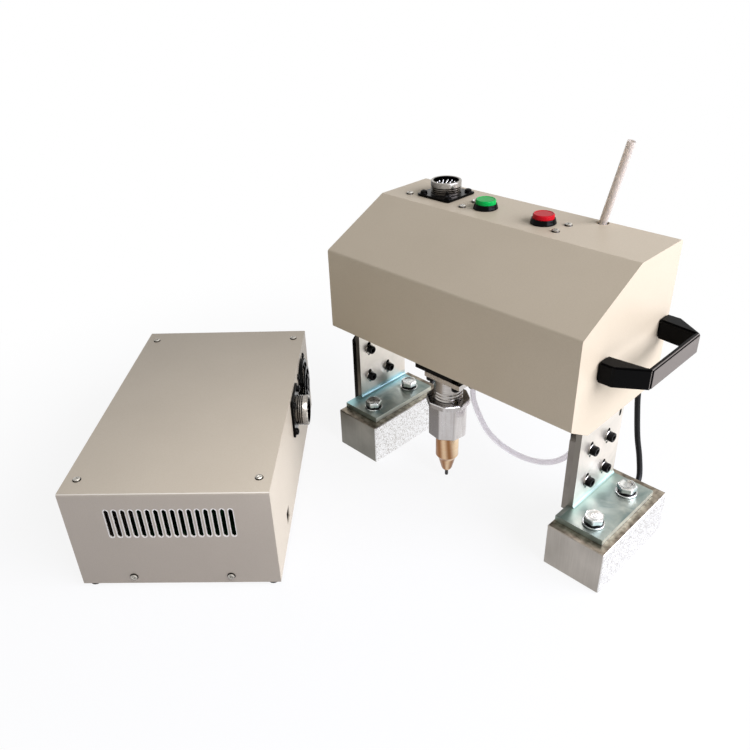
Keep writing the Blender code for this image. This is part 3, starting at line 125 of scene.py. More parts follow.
# %% The camera
CAMERA_PLACE = on_head(566.75, -479.93, 534.28)
CAMERA_YAW = math.radians(-46.21)
CAMERA_PITCH = math.radians(30.944)
CAMERA_ROLL = math.radians(-2.108)
FOCAL_PIXELS = 732.54
IMAGE_PIXELS = 750
SENSOR_MM = 36.0


def camera_axes(yaw, pitch, roll):
    """Right, up and forward: forward from the yaw and the dive, then right and up rolled about it."""
    ahead = math.cos(pitch)
    forward = np.array([math.sin(yaw) * ahead, math.cos(yaw) * ahead, -math.sin(pitch)])
    level = np.array([math.cos(yaw), -math.sin(yaw), 0.0])
    upright = np.cross(level, forward)
    right = level * math.cos(roll) + upright * math.sin(roll)
    up = upright * math.cos(roll) - level * math.sin(roll)
    return right, up, forward


right, up, forward = camera_axes(CAMERA_YAW, CAMERA_PITCH, CAMERA_ROLL)
turn = np.eye(4)
turn[:3, 0], turn[:3, 1], turn[:3, 2], turn[:3, 3] = right, up, -forward, CAMERA_PLACE
camera = bpy.data.objects.new("camera", bpy.data.cameras.new("camera"))
bpy.context.scene.collection.objects.link(camera)
camera.matrix_world = Matrix(turn.tolist())
camera.data.sensor_width = SENSOR_MM
camera.data.lens = FOCAL_PIXELS / IMAGE_PIXELS * SENSOR_MM
camera.data.clip_start = 0.01
bpy.context.scene.camera = camera
print("lens", round(camera.data.lens, 2), "mm")

# %% [markdown]
# Every finish is a small tree of nodes. One function adds a node, sets what it is given and
# makes its links, and another turns the hex colours of a paint chart into the linear values
# that the renderer adds up light in. A finish starts from the shader and the piece's own
# coordinates, which move with it, so a pattern never slides over the surface.

# %% Tools for finishes
def linear(hex_colour):
    """An sRGB hex colour as linear red, green, blue and alpha, by the sRGB curve."""
    parts = np.array([int(hex_colour[i:i + 2], 16) for i in (1, 3, 5)]) / 255
    curve = np.where(parts <= 0.04045, parts / 12.92, ((parts + 0.055) / 1.055) ** 2.4)
    return (*curve.tolist(), 1.0)


def add(tree, kind, inputs=None, **settings):
    """Adds one node of a kind, gives it its settings, and sets or links its inputs."""
    made = tree.nodes.new("ShaderNode" + kind)
    for name, value in settings.items():
        setattr(made, name, value)
    for name, value in (inputs or {}).items():
        if isinstance(value, bpy.types.NodeSocket):
            tree.links.new(value, made.inputs[name])
        else:
            made.inputs[name].default_value = value
    return made


def start_finish(name, **sockets):
    """A material with a plain shader, its sockets set, and the piece's own coordinates in metres."""
    material = bpy.data.materials.new(name)
    material.use_nodes = True
    tree = material.node_tree
    shader = tree.nodes["Principled BSDF"]
    for socket, value in sockets.items():
        shader.inputs[socket.replace("_", " ")].default_value = value
    return material, tree, shader, add(tree, "TexCoord")


def between(tree, share, first, second):
    """A colour that goes from the first to the second as the share goes from 0 to 1."""
    return add(tree, "Mix", {0: share, 6: first, 7: second}, data_type="RGBA").outputs[2]


print("middle grey on a chart is", round(linear("#808080")[0], 3), "in linear light")

# %% [markdown]
# Bare metal mirrors the room. The room's right and top are bright and its left is dim, so each
# metal here gets a painted reflection: a lighter and a darker tone, and it goes from one to the
# other by how far a face points to the bright side. It is the dot product of the face's own normal
# with one fixed direction, so it does not move with the camera.

# %% The bright side of the room
BRIGHT_SIDE = (0.80, 0.12, 0.58)


def bright_share(tree, place, low=-0.45, high=0.75):
    """0 on faces that point away from the bright side of the room, 1 on faces that point to it."""
    lean = add(tree, "VectorMath", {0: place.outputs["Normal"], 1: BRIGHT_SIDE}, operation="DOT_PRODUCT")
    share = add(tree, "MapRange", {"Value": lean.outputs["Value"], "From Min": low, "From Max": high})
    return share.outputs[0]


print("bright side of the room:", BRIGHT_SIDE)

# %% [markdown]
# The sheet metal of both boxes is powder coated: a dry polyester powder is sprayed on and
# baked, and it melts into a tough skin with a fine pebbled texture. The eye reads it as a
# soft, even sheen without a mirror. The pebbles are about a third of a millimetre across,
# which is too fine for the picture, so they are drawn at just under a millimetre. A faint
# speckle and a slow drift of tone keep the large faces from looking like plastic film. Beige
# coats differ a little between batches, and the controller's is the greyer one.

# %% Powder coat
PEBBLE = 0.9 * MM
DRIFT = 70 * MM
SPECKLE = "#A08F74"
EDGE_HIGHLIGHT = "#F4F0EA"


def powder_coat(name, light, dark, highlight_mask=None):
    """Two tones that drift, a brown speckle on the pebbles, and a painted highlight: a paler tone where the
    mask marks an edge.
    """
    material, tree, shader, place = start_finish(name, Specular_IOR_Level=0.30)
    pebbles = add(tree, "TexNoise", {"Vector": place.outputs["Object"], "Scale": 1 / PEBBLE, "Detail": 2.0})
    drift = add(tree, "TexNoise", {"Vector": place.outputs["Object"], "Scale": 1 / DRIFT, "Detail": 3.0})
    tone = between(tree, drift.outputs[0], linear(light), linear(dark))
    speck = add(tree, "MapRange", {"Value": pebbles.outputs[0], "From Min": 0.35, "From Max": 0.75,
                                   "To Min": 0.0, "To Max": 0.14})
    tone = between(tree, speck.outputs[0], tone, linear(SPECKLE))
    # Painted highlight: a paler tone on the edges that the mask marks.
    if highlight_mask is not None:
        tone = between(tree, highlight_mask(tree, place), tone, linear(EDGE_HIGHLIGHT))
    tree.links.new(tone, shader.inputs["Base Color"])
    gloss = add(tree, "MapRange", {"Value": pebbles.outputs[0], "To Min": 0.38, "To Max": 0.52})
    tree.links.new(gloss.outputs[0], shader.inputs["Roughness"])
    grain = add(tree, "Bump", {"Height": pebbles.outputs[0], "Strength": 0.25, "Distance": 0.05 * MM})
    tree.links.new(grain.outputs[0], shader.inputs["Normal"])
    return material


hood_coat = powder_coat("powder_coat_hood", "#C9BBA1", "#C0B298")
case_coat = powder_coat("powder_coat_controller", "#C2B9AC", "#B9B0A4")
print("powder coats:", hood_coat.name, case_coat.name)

# %% [markdown]
# The fold at the front of the controller's lid and the lip that punching leaves round each vent
# slot catch the light as pale lines, so a painted highlight, a paler tone, is laid on those bands.
# The lips need no new mesh: the slots stand at even steps, so a point's distance to the nearest
# slot's middle line can be worked out, and the lip is the band just outside half a slot's width.

# %% Painted highlights on the vents' lips and the lid's fold
VENTS = 16
VENT_FIRST = 40.8 * MM
VENT_LAST = 154.6 * MM
VENT_MIDDLE = 80.65 * MM
VENT_REACH = 14.5 * MM
VENT_HALF = 2.15 * MM
LIP = 0.5 * MM
LIP_FADE = 0.4 * MM
FRONT_SKIN = 0.7 * MM
FRONT_FADE = 0.6 * MM
FOLD_FROM = (CASE_TOP - 0.9) * MM
FOLD_FULL = (CASE_TOP - 0.4) * MM


def case_distance(tree, place, direction):
    """How far a point lies from the controller's front corner along one of its directions."""
    apart = add(tree, "VectorMath", {0: place.outputs["Object"], 1: tuple(CASE_CORNER)},
                operation="SUBTRACT")
    along = add(tree, "VectorMath", {0: apart.outputs[0], 1: tuple(direction)}, operation="DOT_PRODUCT")
    return along.outputs["Value"]


def vent_lips(tree, place):
    """1 on the lip of each vent: the distance to the nearest slot's middle line, with round ends."""
    gaps = VENTS - 1
    steps = add(tree, "MapRange", {"Value": case_distance(tree, place, CASE_ALONG), "From Min": VENT_FIRST,
                                   "From Max": VENT_LAST, "To Max": float(gaps)}, clamp=False)
    whole = add(tree, "Math", {0: steps.outputs[0]}, operation="ROUND")
    nearest = add(tree, "Clamp", {"Value": whole.outputs[0], "Max": float(gaps)})
    off = add(tree, "Math", {0: steps.outputs[0], 1: nearest.outputs[0]}, operation="SUBTRACT")
    across = add(tree, "Math", {0: off.outputs[0], 1: (VENT_LAST - VENT_FIRST) / gaps}, operation="MULTIPLY")
    above = add(tree, "Math", {0: case_distance(tree, place, UP), 1: VENT_MIDDLE}, operation="SUBTRACT")
    height = add(tree, "Math", {0: above.outputs[0]}, operation="ABSOLUTE")
    beyond = add(tree, "Math", {0: height.outputs[0], 1: VENT_REACH}, operation="SUBTRACT")
    end = add(tree, "Math", {0: beyond.outputs[0], 1: 0.0}, operation="MAXIMUM")
    both = add(tree, "CombineXYZ", {"X": across.outputs[0], "Y": end.outputs[0]})
    apart = add(tree, "VectorMath", {0: both.outputs[0]}, operation="LENGTH")
    lip = add(tree, "MapRange", {"Value": apart.outputs["Value"], "From Min": VENT_HALF + LIP,
                                 "From Max": VENT_HALF + LIP + LIP_FADE, "To Min": 1.0, "To Max": 0.0})
    return lip.outputs[0]


def edge_highlights(tree, place):
    """Where the highlight is painted: 1 on the front face's vent lips and on its upper edge, else 0."""
    front = add(tree, "MapRange", {"Value": case_distance(tree, place, CASE_DEEP), "From Min": FRONT_SKIN,
                                   "From Max": FRONT_SKIN + FRONT_FADE, "To Min": 1.0, "To Max": 0.0})
    upper = add(tree, "MapRange", {"Value": case_distance(tree, place, UP), "From Min": FOLD_FROM,
                                   "From Max": FOLD_FULL})
    lips = add(tree, "Math", {0: vent_lips(tree, place), 1: front.outputs[0]}, operation="MULTIPLY")
    fold = add(tree, "Math", {0: upper.outputs[0], 1: front.outputs[0]}, operation="MULTIPLY")
    return add(tree, "Math", {0: lips.outputs[0], 1: fold.outputs[0]}, operation="MAXIMUM").outputs[0]


lid_coat = powder_coat("powder_coat_lid", "#C1B7AA", "#B8AEA1", edge_highlights)
print("lips round", VENTS, "vents, one every", round((VENT_LAST - VENT_FIRST) / (VENTS - 1) / MM, 2), "mm")

# %% [markdown]
# The foot brackets and their bolts are zinc plated and passivated. Zinc is a pale metal, and
# the thin chromate film on it turns the light a little blue green, with straw tints where the
# film is thinner. Cold rolled sheet keeps fine lines from the mill. A bracket's upright web is
# nearly white, its foot is a greyer teal, and along the fold between them runs a cyan band.
# The dark line at the root of the fold is painted shade, and the edges are painted lighter or
# darker by how far they point to the bright side. Height tells these zones apart.

# %% Zinc plate
ZINC_CLOUD = 28 * MM
MILL_LINE = 0.7 * MM
FOOT_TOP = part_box("foot_bracket_left")[0].z + 6 * MM
WEB_FACES = [on_head(x, 0, 0)[0] for x in BRACKET_FACE.values()]
BOLT_CLOUD = 9 * MM


def rolled(tree, place, cloud):
    """Slow clouds of tint, and fine lines from the rolling mill along the sheet."""
    clouds = add(tree, "TexNoise", {"Vector": place.outputs["Object"], "Scale": 1 / cloud, "Detail": 4.0,
                                    "Distortion": 0.6})
    spread = add(tree, "MapRange", {"Value": clouds.outputs[0], "From Min": 0.35, "From Max": 0.65})
    lines = add(tree, "Mapping", {"Vector": place.outputs["Object"], "Scale": (0.06, 1.0, 0.06)})
    mill = add(tree, "TexNoise", {"Vector": lines.outputs[0], "Scale": 1 / MILL_LINE, "Detail": 2.0})
    return spread.outputs[0], mill.outputs[0]


def finish_metal(tree, shader, colour, grain, rough_low, rough_high, depth):
    """Links a metal's colour, and lets its grain vary the roughness and stand in slight relief."""
    tree.links.new(colour, shader.inputs["Base Color"])
    gloss = add(tree, "MapRange", {"Value": grain, "To Min": rough_low, "To Max": rough_high})
    tree.links.new(gloss.outputs[0], shader.inputs["Roughness"])
    relief = add(tree, "Bump", {"Height": grain, "Strength": 0.12, "Distance": depth})
    tree.links.new(relief.outputs[0], shader.inputs["Normal"])


def zinc_bracket():
    """Cream web, teal foot, a cyan band in the fold over a painted shade line at its root, and edges painted
    lit or shaded by their direction.
    """
    material, tree, shader, place = start_finish("blue_passivated_zinc", Metallic=1.0)
    spread, mill = rolled(tree, place, ZINC_CLOUD)
    at = add(tree, "SeparateXYZ", {"Vector": place.outputs["Object"]})
    facing = add(tree, "SeparateXYZ", {"Vector": place.outputs["Normal"]})
    web = between(tree, spread, linear("#F8F0E6"), linear("#E9E4DA"))
    above = add(tree, "MapRange", {"Value": at.outputs["Z"], "From Min": FOOT_TOP + 1.5 * MM,
                                   "From Max": FOOT_TOP + 8 * MM})
    root = add(tree, "MapRange", {"Value": at.outputs["Z"], "From Min": FOOT_TOP + 0.5 * MM,
                                  "From Max": FOOT_TOP + 1.5 * MM})
    near = []
    for x in WEB_FACES:
        close = add(tree, "MapRange", {"Value": at.outputs["X"], "From Min": x + 2 * MM,
                                       "From Max": x + 14 * MM, "To Min": 1.0, "To Max": 0.0})
        near.append(close.outputs[0])
    right = add(tree, "MapRange", {"Value": at.outputs["X"], "From Min": WEB_FACES[1] - 2 * MM,
                                   "From Max": WEB_FACES[1] - 1 * MM})
    film = between(tree, right.outputs[0], linear("#A9D0D6"), linear("#D3DED6"))
    rising = between(tree, above.outputs[0], film, web)
    # A dark line at the root of the fold: painted shade in the crease.
    standing = between(tree, root.outputs[0], linear("#567078"), rising)
    fold = add(tree, "Mix", {0: right.outputs[0], 2: near[0], 3: near[1]}).outputs[0]
    foot = between(tree, spread, linear("#82928D"), linear("#BCC3BA"))
    band = between(tree, right.outputs[0], linear("#A5CDD0"), linear("#95ABA1"))
    foot = between(tree, fold, foot, band)
    upward = add(tree, "MapRange", {"Value": facing.outputs["Z"], "From Min": 0.5, "From Max": 0.9})
    above_foot = add(tree, "MapRange", {"Value": at.outputs["Z"], "From Min": FOOT_TOP - 0.4 * MM,
                                        "From Max": FOOT_TOP - 0.1 * MM})
    # Shaded and lit copies of the edge colour, mixed by how far a face points to the bright side: painted
    # light and shade.
    rim = between(tree, above_foot.outputs[0], linear("#58706B"), linear("#5B5751"))
    lit_rim = between(tree, above_foot.outputs[0], linear("#DDE4DB"), linear("#B5AFA6"))
    sides = between(tree, bright_share(tree, place), rim, lit_rim)
    across = add(tree, "Math", {0: facing.outputs["Y"]}, operation="ABSOLUTE")
    edges = add(tree, "MapRange", {"Value": across.outputs[0], "From Min": 0.5, "From Max": 0.9,
                                   "To Min": 1.0, "To Max": 0.0})
    standing_share = add(tree, "Math", {0: above_foot.outputs[0], 1: edges.outputs[0]}, operation="MULTIPLY")
    walls = between(tree, standing_share.outputs[0], sides, standing)
    colour = between(tree, upward.outputs[0], walls, foot)
    finish_metal(tree, shader, colour, mill, 0.32, 0.52, 0.03 * MM)
    return material


def zinc_bolt():
    """A forged and plated head: bright towards the light, dim away from it, a little cloudy."""
    material, tree, shader, place = start_finish("zinc_plated_bolt", Metallic=1.0)
    spread, mill = rolled(tree, place, BOLT_CLOUD)
    light = between(tree, spread, linear("#FBFAF5"), linear("#C9CFCD"))
    colour = between(tree, bright_share(tree, place), linear("#4E5557"), light)
    finish_metal(tree, shader, colour, mill, 0.18, 0.34, 0.02 * MM)
    return material


zinc = zinc_bracket()
bolt_zinc = zinc_bolt()
print("zinc nodes:", len(zinc.node_tree.nodes), "for brackets,", len(bolt_zinc.node_tree.nodes), "for bolts")

# %% [markdown]
# Each magnet block is a steel body that was ground and then plated. Its ends are brushed and
# greyish, its long sides sparkle with the small facets that a coarse wheel leaves, and its top
# face is stained brown where the plating is thin around the bracket. The three looks are told
# apart by the way that a face points, which is the object's own normal. The block on the left
# stands further from the window, so its ends are painted in darker tones: painted shade.

# %% Ground and plated block
FACET = 0.9 * MM
GRIT = 1.2 * MM
STROKE = 1.2 * MM
STAIN = 7 * MM
CLOUD = 45 * MM
INWARD = 0.1


def plated_block():
    """Brushed ends, sparkling long sides and a stained top, told apart by how a face points; the left
    block's ends painted darker as shade.
    """
    material, tree, shader, place = start_finish("ground_plated_steel", Metallic=1.0)
    facing = add(tree, "SeparateXYZ", {"Vector": place.outputs["Normal"]})
    facets = add(tree, "TexVoronoi", {"Vector": place.outputs["Object"], "Scale": 1 / FACET})
    stains = add(tree, "TexNoise", {"Vector": place.outputs["Object"], "Scale": 1 / STAIN, "Detail": 5.0})
    brush = add(tree, "Mapping", {"Vector": place.outputs["Object"], "Scale": (1.0, 1.0, 0.05)})
    strokes = add(tree, "TexNoise", {"Vector": brush.outputs[0], "Scale": 1 / STROKE, "Detail": 3.0})
    sparkle = add(tree, "MapRange", {"Value": facets.outputs["Distance"], "From Min": 0.1, "From Max": 0.8})
    side = add(tree, "Math", {0: facing.outputs["X"]}, operation="ABSOLUTE")
    patches = add(tree, "MapRange", {"Value": stains.outputs[0], "From Min": 0.35, "From Max": 0.65})
    clouds = add(tree, "TexNoise", {"Vector": place.outputs["Object"], "Scale": 1 / CLOUD, "Detail": 2.0})
    at = add(tree, "SeparateXYZ", {"Vector": place.outputs["Object"]})
    # Painted shade: the ends of the left block take the darker tones, as it stands further from the window.
    right = add(tree, "MapRange", {"Value": at.outputs["X"], "From Min": WEB_FACES[0] + INWARD,
                                   "From Max": WEB_FACES[1] - INWARD})
    dull = between(tree, right.outputs[0], linear("#55544E"), linear("#8A857E"))
    clear = between(tree, right.outputs[0], linear("#9A978F"), linear("#C2BBB4"))
    ends = between(tree, clouds.outputs[0], dull, clear)
    streaks = add(tree, "MapRange", {"Value": strokes.outputs[0], "From Min": 0.3, "From Max": 0.7,
                                     "To Min": 0.14, "To Max": 0.0})
    ends = between(tree, streaks.outputs[0], ends, linear("#5E5B55"))
    grit = add(tree, "TexNoise", {"Vector": place.outputs["Object"], "Scale": 1 / GRIT, "Detail": 4.0})
    pits = add(tree, "MapRange", {"Value": grit.outputs[0], "From Min": 0.46, "From Max": 0.66})
    ground = between(tree, pits.outputs[0], linear("#FFFFFF"), linear("#B9B4AE"))
    walls = between(tree, side.outputs[0], ends, ground)
    upward = add(tree, "MapRange", {"Value": facing.outputs["Z"], "From Min": 0.5, "From Max": 0.9})
    tops = between(tree, patches.outputs[0], linear("#6E6457"), linear("#ABA08F"))
    tree.links.new(between(tree, upward.outputs[0], walls, tops), shader.inputs["Base Color"])
    gloss = add(tree, "MapRange", {"Value": stains.outputs[0], "To Min": 0.30, "To Max": 0.50})
    tree.links.new(gloss.outputs[0], shader.inputs["Roughness"])
    grain = add(tree, "Bump", {"Height": sparkle.outputs[0], "Strength": side.outputs[0],
                               "Distance": 0.06 * MM})
    tree.links.new(grain.outputs[0], shader.inputs["Normal"])
    return material


block_steel = plated_block()
print("block finish:", len(block_steel.node_tree.nodes), "nodes")

# %% [markdown]
# Turned and milled metals share one recipe. A lathe leaves rings and a mill leaves straight
# lines, and both are a noise that is stretched until it only changes in one direction. What
# differs is the colour, the direction and the spacing of the marks: 0.5 mm on the turned neck,
# 0.9 mm on the nose, 0.6 mm on milled blocks, and finer on the ground shafts. Black anodising
# and black oxide keep the metal's marks under a dark skin. Round bright parts also gather the
# whole room into narrow upright bands, which a sine of the lean to the bright side draws.

# %% Cut metals
HANDLING = 14 * MM
BAND_TURNS = 18.0


def cut_metal(name, light, dark, dim, marks, spacing, rough, depth=0.02, bands=0.0):
    """Metal with tool marks: marks holds 1 along the direction in which they change, else a small share.
    A band, a painted reflection, is the sine of BAND_TURNS times the share of the bright side, and darkens
    by bands.
    Faces away from the bright side take the dim tone, a painted shade."""
    material, tree, shader, place = start_finish(name, Metallic=1.0)
    stretched = add(tree, "Mapping", {"Vector": place.outputs["Object"], "Scale": marks})
    strokes = add(tree, "TexNoise", {"Vector": stretched.outputs[0], "Scale": 1 / spacing, "Detail": 3.0})
    handling = add(tree, "TexNoise", {"Vector": place.outputs["Object"], "Scale": 1 / HANDLING,
                                      "Detail": 4.0})
    blend = add(tree, "Math", {0: strokes.outputs[0], 1: handling.outputs[0]}, operation="MULTIPLY")
    share = add(tree, "MapRange", {"Value": blend.outputs[0], "From Min": 0.08, "From Max": 0.45})
    marked = between(tree, share.outputs[0], linear(dark), linear(light))
    # Painted reflections: the room drawn as narrow upright bands on round parts.
    if bands:
        lean = bright_share(tree, place, -1.0, 1.0)
        turns = add(tree, "Math", {0: lean, 1: BAND_TURNS}, operation="MULTIPLY")
        wave = add(tree, "Math", {0: turns.outputs[0]}, operation="SINE")
        band = add(tree, "MapRange", {"Value": wave.outputs[0], "From Min": -1.0, "To Max": bands})
        marked = between(tree, band.outputs[0], marked, linear(dim))
    # Faces away from the bright side take the dim tone: painted reflection and shade.
    colour = between(tree, bright_share(tree, place), linear(dim), marked)
    tree.links.new(colour, shader.inputs["Base Color"])
    gloss = add(tree, "MapRange", {"Value": handling.outputs[0], "From Min": 0.3, "From Max": 0.7,
                                   "To Min": rough - 0.06, "To Max": rough + 0.08})
    tree.links.new(gloss.outputs[0], shader.inputs["Roughness"])
    grain = add(tree, "Bump", {"Height": strokes.outputs[0], "Strength": 0.25, "Distance": depth * MM})
    tree.links.new(grain.outputs[0], shader.inputs["Normal"])
    return material


RINGS = (0.02, 0.02, 1.0)
UPRIGHT = (1.0, 1.0, 0.04)
ALONG_X = (1.0, 0.05, 0.05)
ALONG_Y = (0.05, 1.0, 0.05)
SHAFT = ("#CCC9C5", "#9B9894", "#77736F")

turned_aluminium = cut_metal("turned_aluminium", "#F7F3F0", "#C6C0BA", "#6B6661", RINGS, 0.5 * MM, 0.20,
                             bands=0.4)
octagon_aluminium = cut_metal("milled_octagon", "#FFFDFC", "#DED7D5", "#5F5A58", UPRIGHT, 1.5 * MM, 0.24,
                              depth=0.01, bands=0.4)
milled_aluminium = cut_metal("milled_aluminium", "#F1EDE9", "#B9B4AF", "#908B84", ALONG_X, 0.6 * MM, 0.26)
nose_brass = cut_metal("turned_brass", "#FFEDD2", "#F8D5AC", "#8F6340", RINGS, 0.9 * MM, 0.14, bands=1.0)
nut_brass = cut_metal("turned_brass_nut", "#D8B07A", "#A07A45", "#6E4F2A", ALONG_X, 0.4 * MM, 0.30)
ground_steel = cut_metal("ground_shaft_steel", *SHAFT, ALONG_X, 0.3 * MM, 0.18, depth=0.01)
ground_rail = cut_metal("ground_rail_steel", *SHAFT, ALONG_Y, 0.3 * MM, 0.18, depth=0.01)
hard_steel = cut_metal("hardened_pin_steel", "#6C6A6A", "#3E3D3E", "#1C1B1C", RINGS, 0.3 * MM, 0.30)
nickel_screw = cut_metal("nickel_plated_screw", "#FBF7EF", "#B9B2A8", "#120F0E", RINGS, 0.4 * MM, 0.18,
                         bands=0.5)
oxide_screw = cut_metal("black_oxide_screw", "#2A2929", "#0F0F0F", "#050505", RINGS, 0.4 * MM, 0.34)
anodised = cut_metal("black_anodised_plate", "#2C2A28", "#141313", "#0A0A0A", ALONG_Y, 0.6 * MM, 0.36)
brushed_plate = cut_metal("brushed_chassis_plate", "#B4AEA7", "#77716B", "#6A655F", ALONG_Y, 1.1 * MM, 0.34)
laminated = cut_metal("lacquered_laminations", "#1C1C1E", "#0A0A0B", "#060607", ALONG_X, 0.5 * MM, 0.42,
                      depth=0.06)
contact_silver = cut_metal("silver_plated_contacts", "#FFFFFF", "#C9C4BC", "#3A3734", RINGS, 0.5 * MM, 0.20)
print("finishes so far:", len(bpy.data.materials))

# %% [markdown]
# Moulded plastics and rubber come out of a mould with the mould's own spark-eroded texture.
# A handle is a satin nylon, so it shows a soft highlight with a fine grain, painted as a paler
# grey on the faces towards the window. Rubber feet and cable jackets are duller. The push-button
# caps are tinted polycarbonate, so their colour is deep and their face is smooth, and a low index
# keeps the white room from washing it out. The two polyurethane tubes let light through. The
# thin one is nearly clear, and the feed hose has a thicker, milkier wall.

# %% Plastics, rubber and tinted caps
WEAR = 22 * MM
PLASTIC_BUMP = 0.05 * MM


def moulded(name, light, dark, grain_size, rough_low, rough_high, bump, painted_sheen=None, **sockets):
    """A moulded part: its colour and its gloss change with a fine grain, which also stands in relief.
    On faces towards the window, painted_sheen is the paler colour of a painted sheen."""
    material, tree, shader, place = start_finish(name, **sockets)
    grain = add(tree, "TexNoise", {"Vector": place.outputs["Object"], "Scale": 1 / grain_size,
                                   "Detail": 3.0})
    wear = add(tree, "TexNoise", {"Vector": place.outputs["Object"], "Scale": 1 / WEAR, "Detail": 4.0})
    share = add(tree, "Math", {0: grain.outputs[0], 1: wear.outputs[0]}, operation="MULTIPLY")
    colour = between(tree, share.outputs[0], linear(dark), linear(light))
    # Painted sheen: a paler colour on faces that point to the window.
    if painted_sheen:
        colour = between(tree, bright_share(tree, place, 0.64, 0.82), colour, linear(painted_sheen))
    tree.links.new(colour, shader.inputs["Base Color"])
    gloss = add(tree, "MapRange", {"Value": wear.outputs[0], "From Min": 0.3, "From Max": 0.7,
                                   "To Min": rough_low, "To Max": rough_high})
    tree.links.new(gloss.outputs[0], shader.inputs["Roughness"])
    relief = add(tree, "Bump", {"Height": grain.outputs[0], "Strength": bump, "Distance": PLASTIC_BUMP})
    tree.links.new(relief.outputs[0], shader.inputs["Normal"])
    return material


satin_nylon = moulded("moulded_nylon", "#0C0A0A", "#030303", 0.5 * MM, 0.26, 0.38, 0.10, "#726B62",
                      IOR=1.20, Specular_IOR_Level=0.30)
black_abs = moulded("moulded_abs", "#070707", "#020202", 0.4 * MM, 0.14, 0.24, 0.05,
                    IOR=1.20, Specular_IOR_Level=0.30)
cable_rubber = moulded("cable_rubber", "#1A1918", "#080808", 0.6 * MM, 0.40, 0.55, 0.25,
                       Specular_IOR_Level=0.25)
green_cap = moulded("tinted_polycarbonate_green", "#0EC455", "#069A42", 1.5 * MM, 0.08, 0.16, 0.03,
                    IOR=1.25, Specular_IOR_Level=0.22)
red_cap = moulded("tinted_polycarbonate_red", "#E01A2A", "#B00F1A", 1.5 * MM, 0.08, 0.16, 0.03,
                  IOR=1.25, Specular_IOR_Level=0.22)
solder_mask = moulded("solder_mask", "#1B6B3A", "#0C3F20", 0.8 * MM, 0.30, 0.45, 0.15)
clear_tube = moulded("polyurethane_tube", "#FFFFFF", "#FBF7FB", 2.5 * MM, 0.10, 0.18, 0.03,
                     Transmission_Weight=0.78, IOR=1.08)
hose_tube = moulded("polyurethane_hose", "#F7F0E7", "#E2D6C8", 2.5 * MM, 0.08, 0.14, 0.03,
                    Transmission_Weight=0.50, IOR=1.30)
print("finishes with the plastics:", len(bpy.data.materials))

# %% [markdown]
# Each round socket has a black flange that is screwed to the panel and a nickel plated barrel
# with a thread for the plug's ring. The barrel is darker at its foot and in the bottoms of its
# thread, and bright at its plain collar. The distance from the panel tells foot and collar apart: it
# is the dot product of a point with the direction in which the socket faces. Inside, the bore is
# painted near black as shade, and faces away from the bright side get a painted darker tone.

# %% Socket finish
SOCKET_FLANGE = 3.3 * MM
SOCKET_COLLAR = 11.0 * MM
SOCKET_BORE = 14.0 * MM
SOCKET_STAIN = 2.4 * MM


def socket_metal(name, panel, outward):
    """By the distance out: black flange, darker thread, bright collar. By the radius: darker groove bottoms
    and a bore painted in shade. Faces away from the bright side are painted darker.
    """
    material, tree, shader, place = start_finish(name, Metallic=1.0)
    apart = add(tree, "VectorMath", {0: place.outputs["Object"], 1: tuple(panel)}, operation="SUBTRACT")
    along = add(tree, "VectorMath", {0: apart.outputs[0], 1: tuple(outward)}, operation="DOT_PRODUCT")
    across = add(tree, "VectorMath", {0: apart.outputs[0], 1: tuple(outward)}, operation="CROSS_PRODUCT")
    radius = add(tree, "VectorMath", {0: across.outputs[0]}, operation="LENGTH")
    stains = add(tree, "TexNoise", {"Vector": place.outputs["Object"], "Scale": 1 / SOCKET_STAIN,
                                    "Detail": 5.0})
    barrel = add(tree, "MapRange", {"Value": along.outputs["Value"], "From Min": SOCKET_FLANGE,
                                    "From Max": SOCKET_FLANGE + 0.2 * MM})
    collar_share = add(tree, "MapRange", {"Value": along.outputs["Value"], "From Min": SOCKET_COLLAR - 6 * MM,
                                   "From Max": SOCKET_COLLAR})
    wall = add(tree, "MapRange", {"Value": radius.outputs["Value"], "From Min": SOCKET_BORE,
                                  "From Max": SOCKET_BORE + 0.3 * MM})
    foot_tone = between(tree, stains.outputs[0], linear("#2B2927"), linear("#8A837B"))
    bright = between(tree, stains.outputs[0], linear("#69635D"), linear("#D2CBC2"))
    nickel = between(tree, collar_share.outputs[0], foot_tone, bright)
    crest = add(tree, "MapRange", {"Value": radius.outputs["Value"], "From Min": SOCKET_BORE + 1.7 * MM,
                                   "From Max": SOCKET_BORE + 2.5 * MM})
    inner = add(tree, "MapRange", {"Value": along.outputs["Value"], "From Min": SOCKET_COLLAR,
                                   "From Max": SOCKET_COLLAR + 0.3 * MM})
    crest = add(tree, "Math", {0: crest.outputs[0], 1: inner.outputs[0]}, operation="MAXIMUM")
    nickel = between(tree, crest.outputs[0], linear("#141312"), nickel)
    # Painted shade: faces away from the bright side get a darker tone.
    nickel = between(tree, bright_share(tree, place), linear("#2B2826"), nickel)
    outside = between(tree, barrel.outputs[0], linear("#0E0D0D"), nickel)
    # Painted shade: the wall of the bore is near black.
    tree.links.new(between(tree, wall.outputs[0], linear("#0B0A0A"), outside), shader.inputs["Base Color"])
    gloss = add(tree, "MapRange", {"Value": stains.outputs[0], "To Min": 0.16, "To Max": 0.34})
    tree.links.new(gloss.outputs[0], shader.inputs["Roughness"])
    return material


HEAD_SOCKET = on_head(58.5, 124.5, HOOD_TOP)
CASE_SOCKET = on_case(CASE_WIDE, 173.0, 87.8)
head_socket_metal = socket_metal("head_socket_metal", HEAD_SOCKET, UP)
case_socket_metal = socket_metal("case_socket_metal", CASE_SOCKET, CASE_ALONG)
print("sockets at", HEAD_SOCKET.round(4), "and", CASE_SOCKET.round(4))

# %% [markdown]
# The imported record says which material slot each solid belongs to, so most solids get their
# finish by one small list of slots. A few need their own, such as the shafts, whose grinding
# marks run another way, and the sockets.

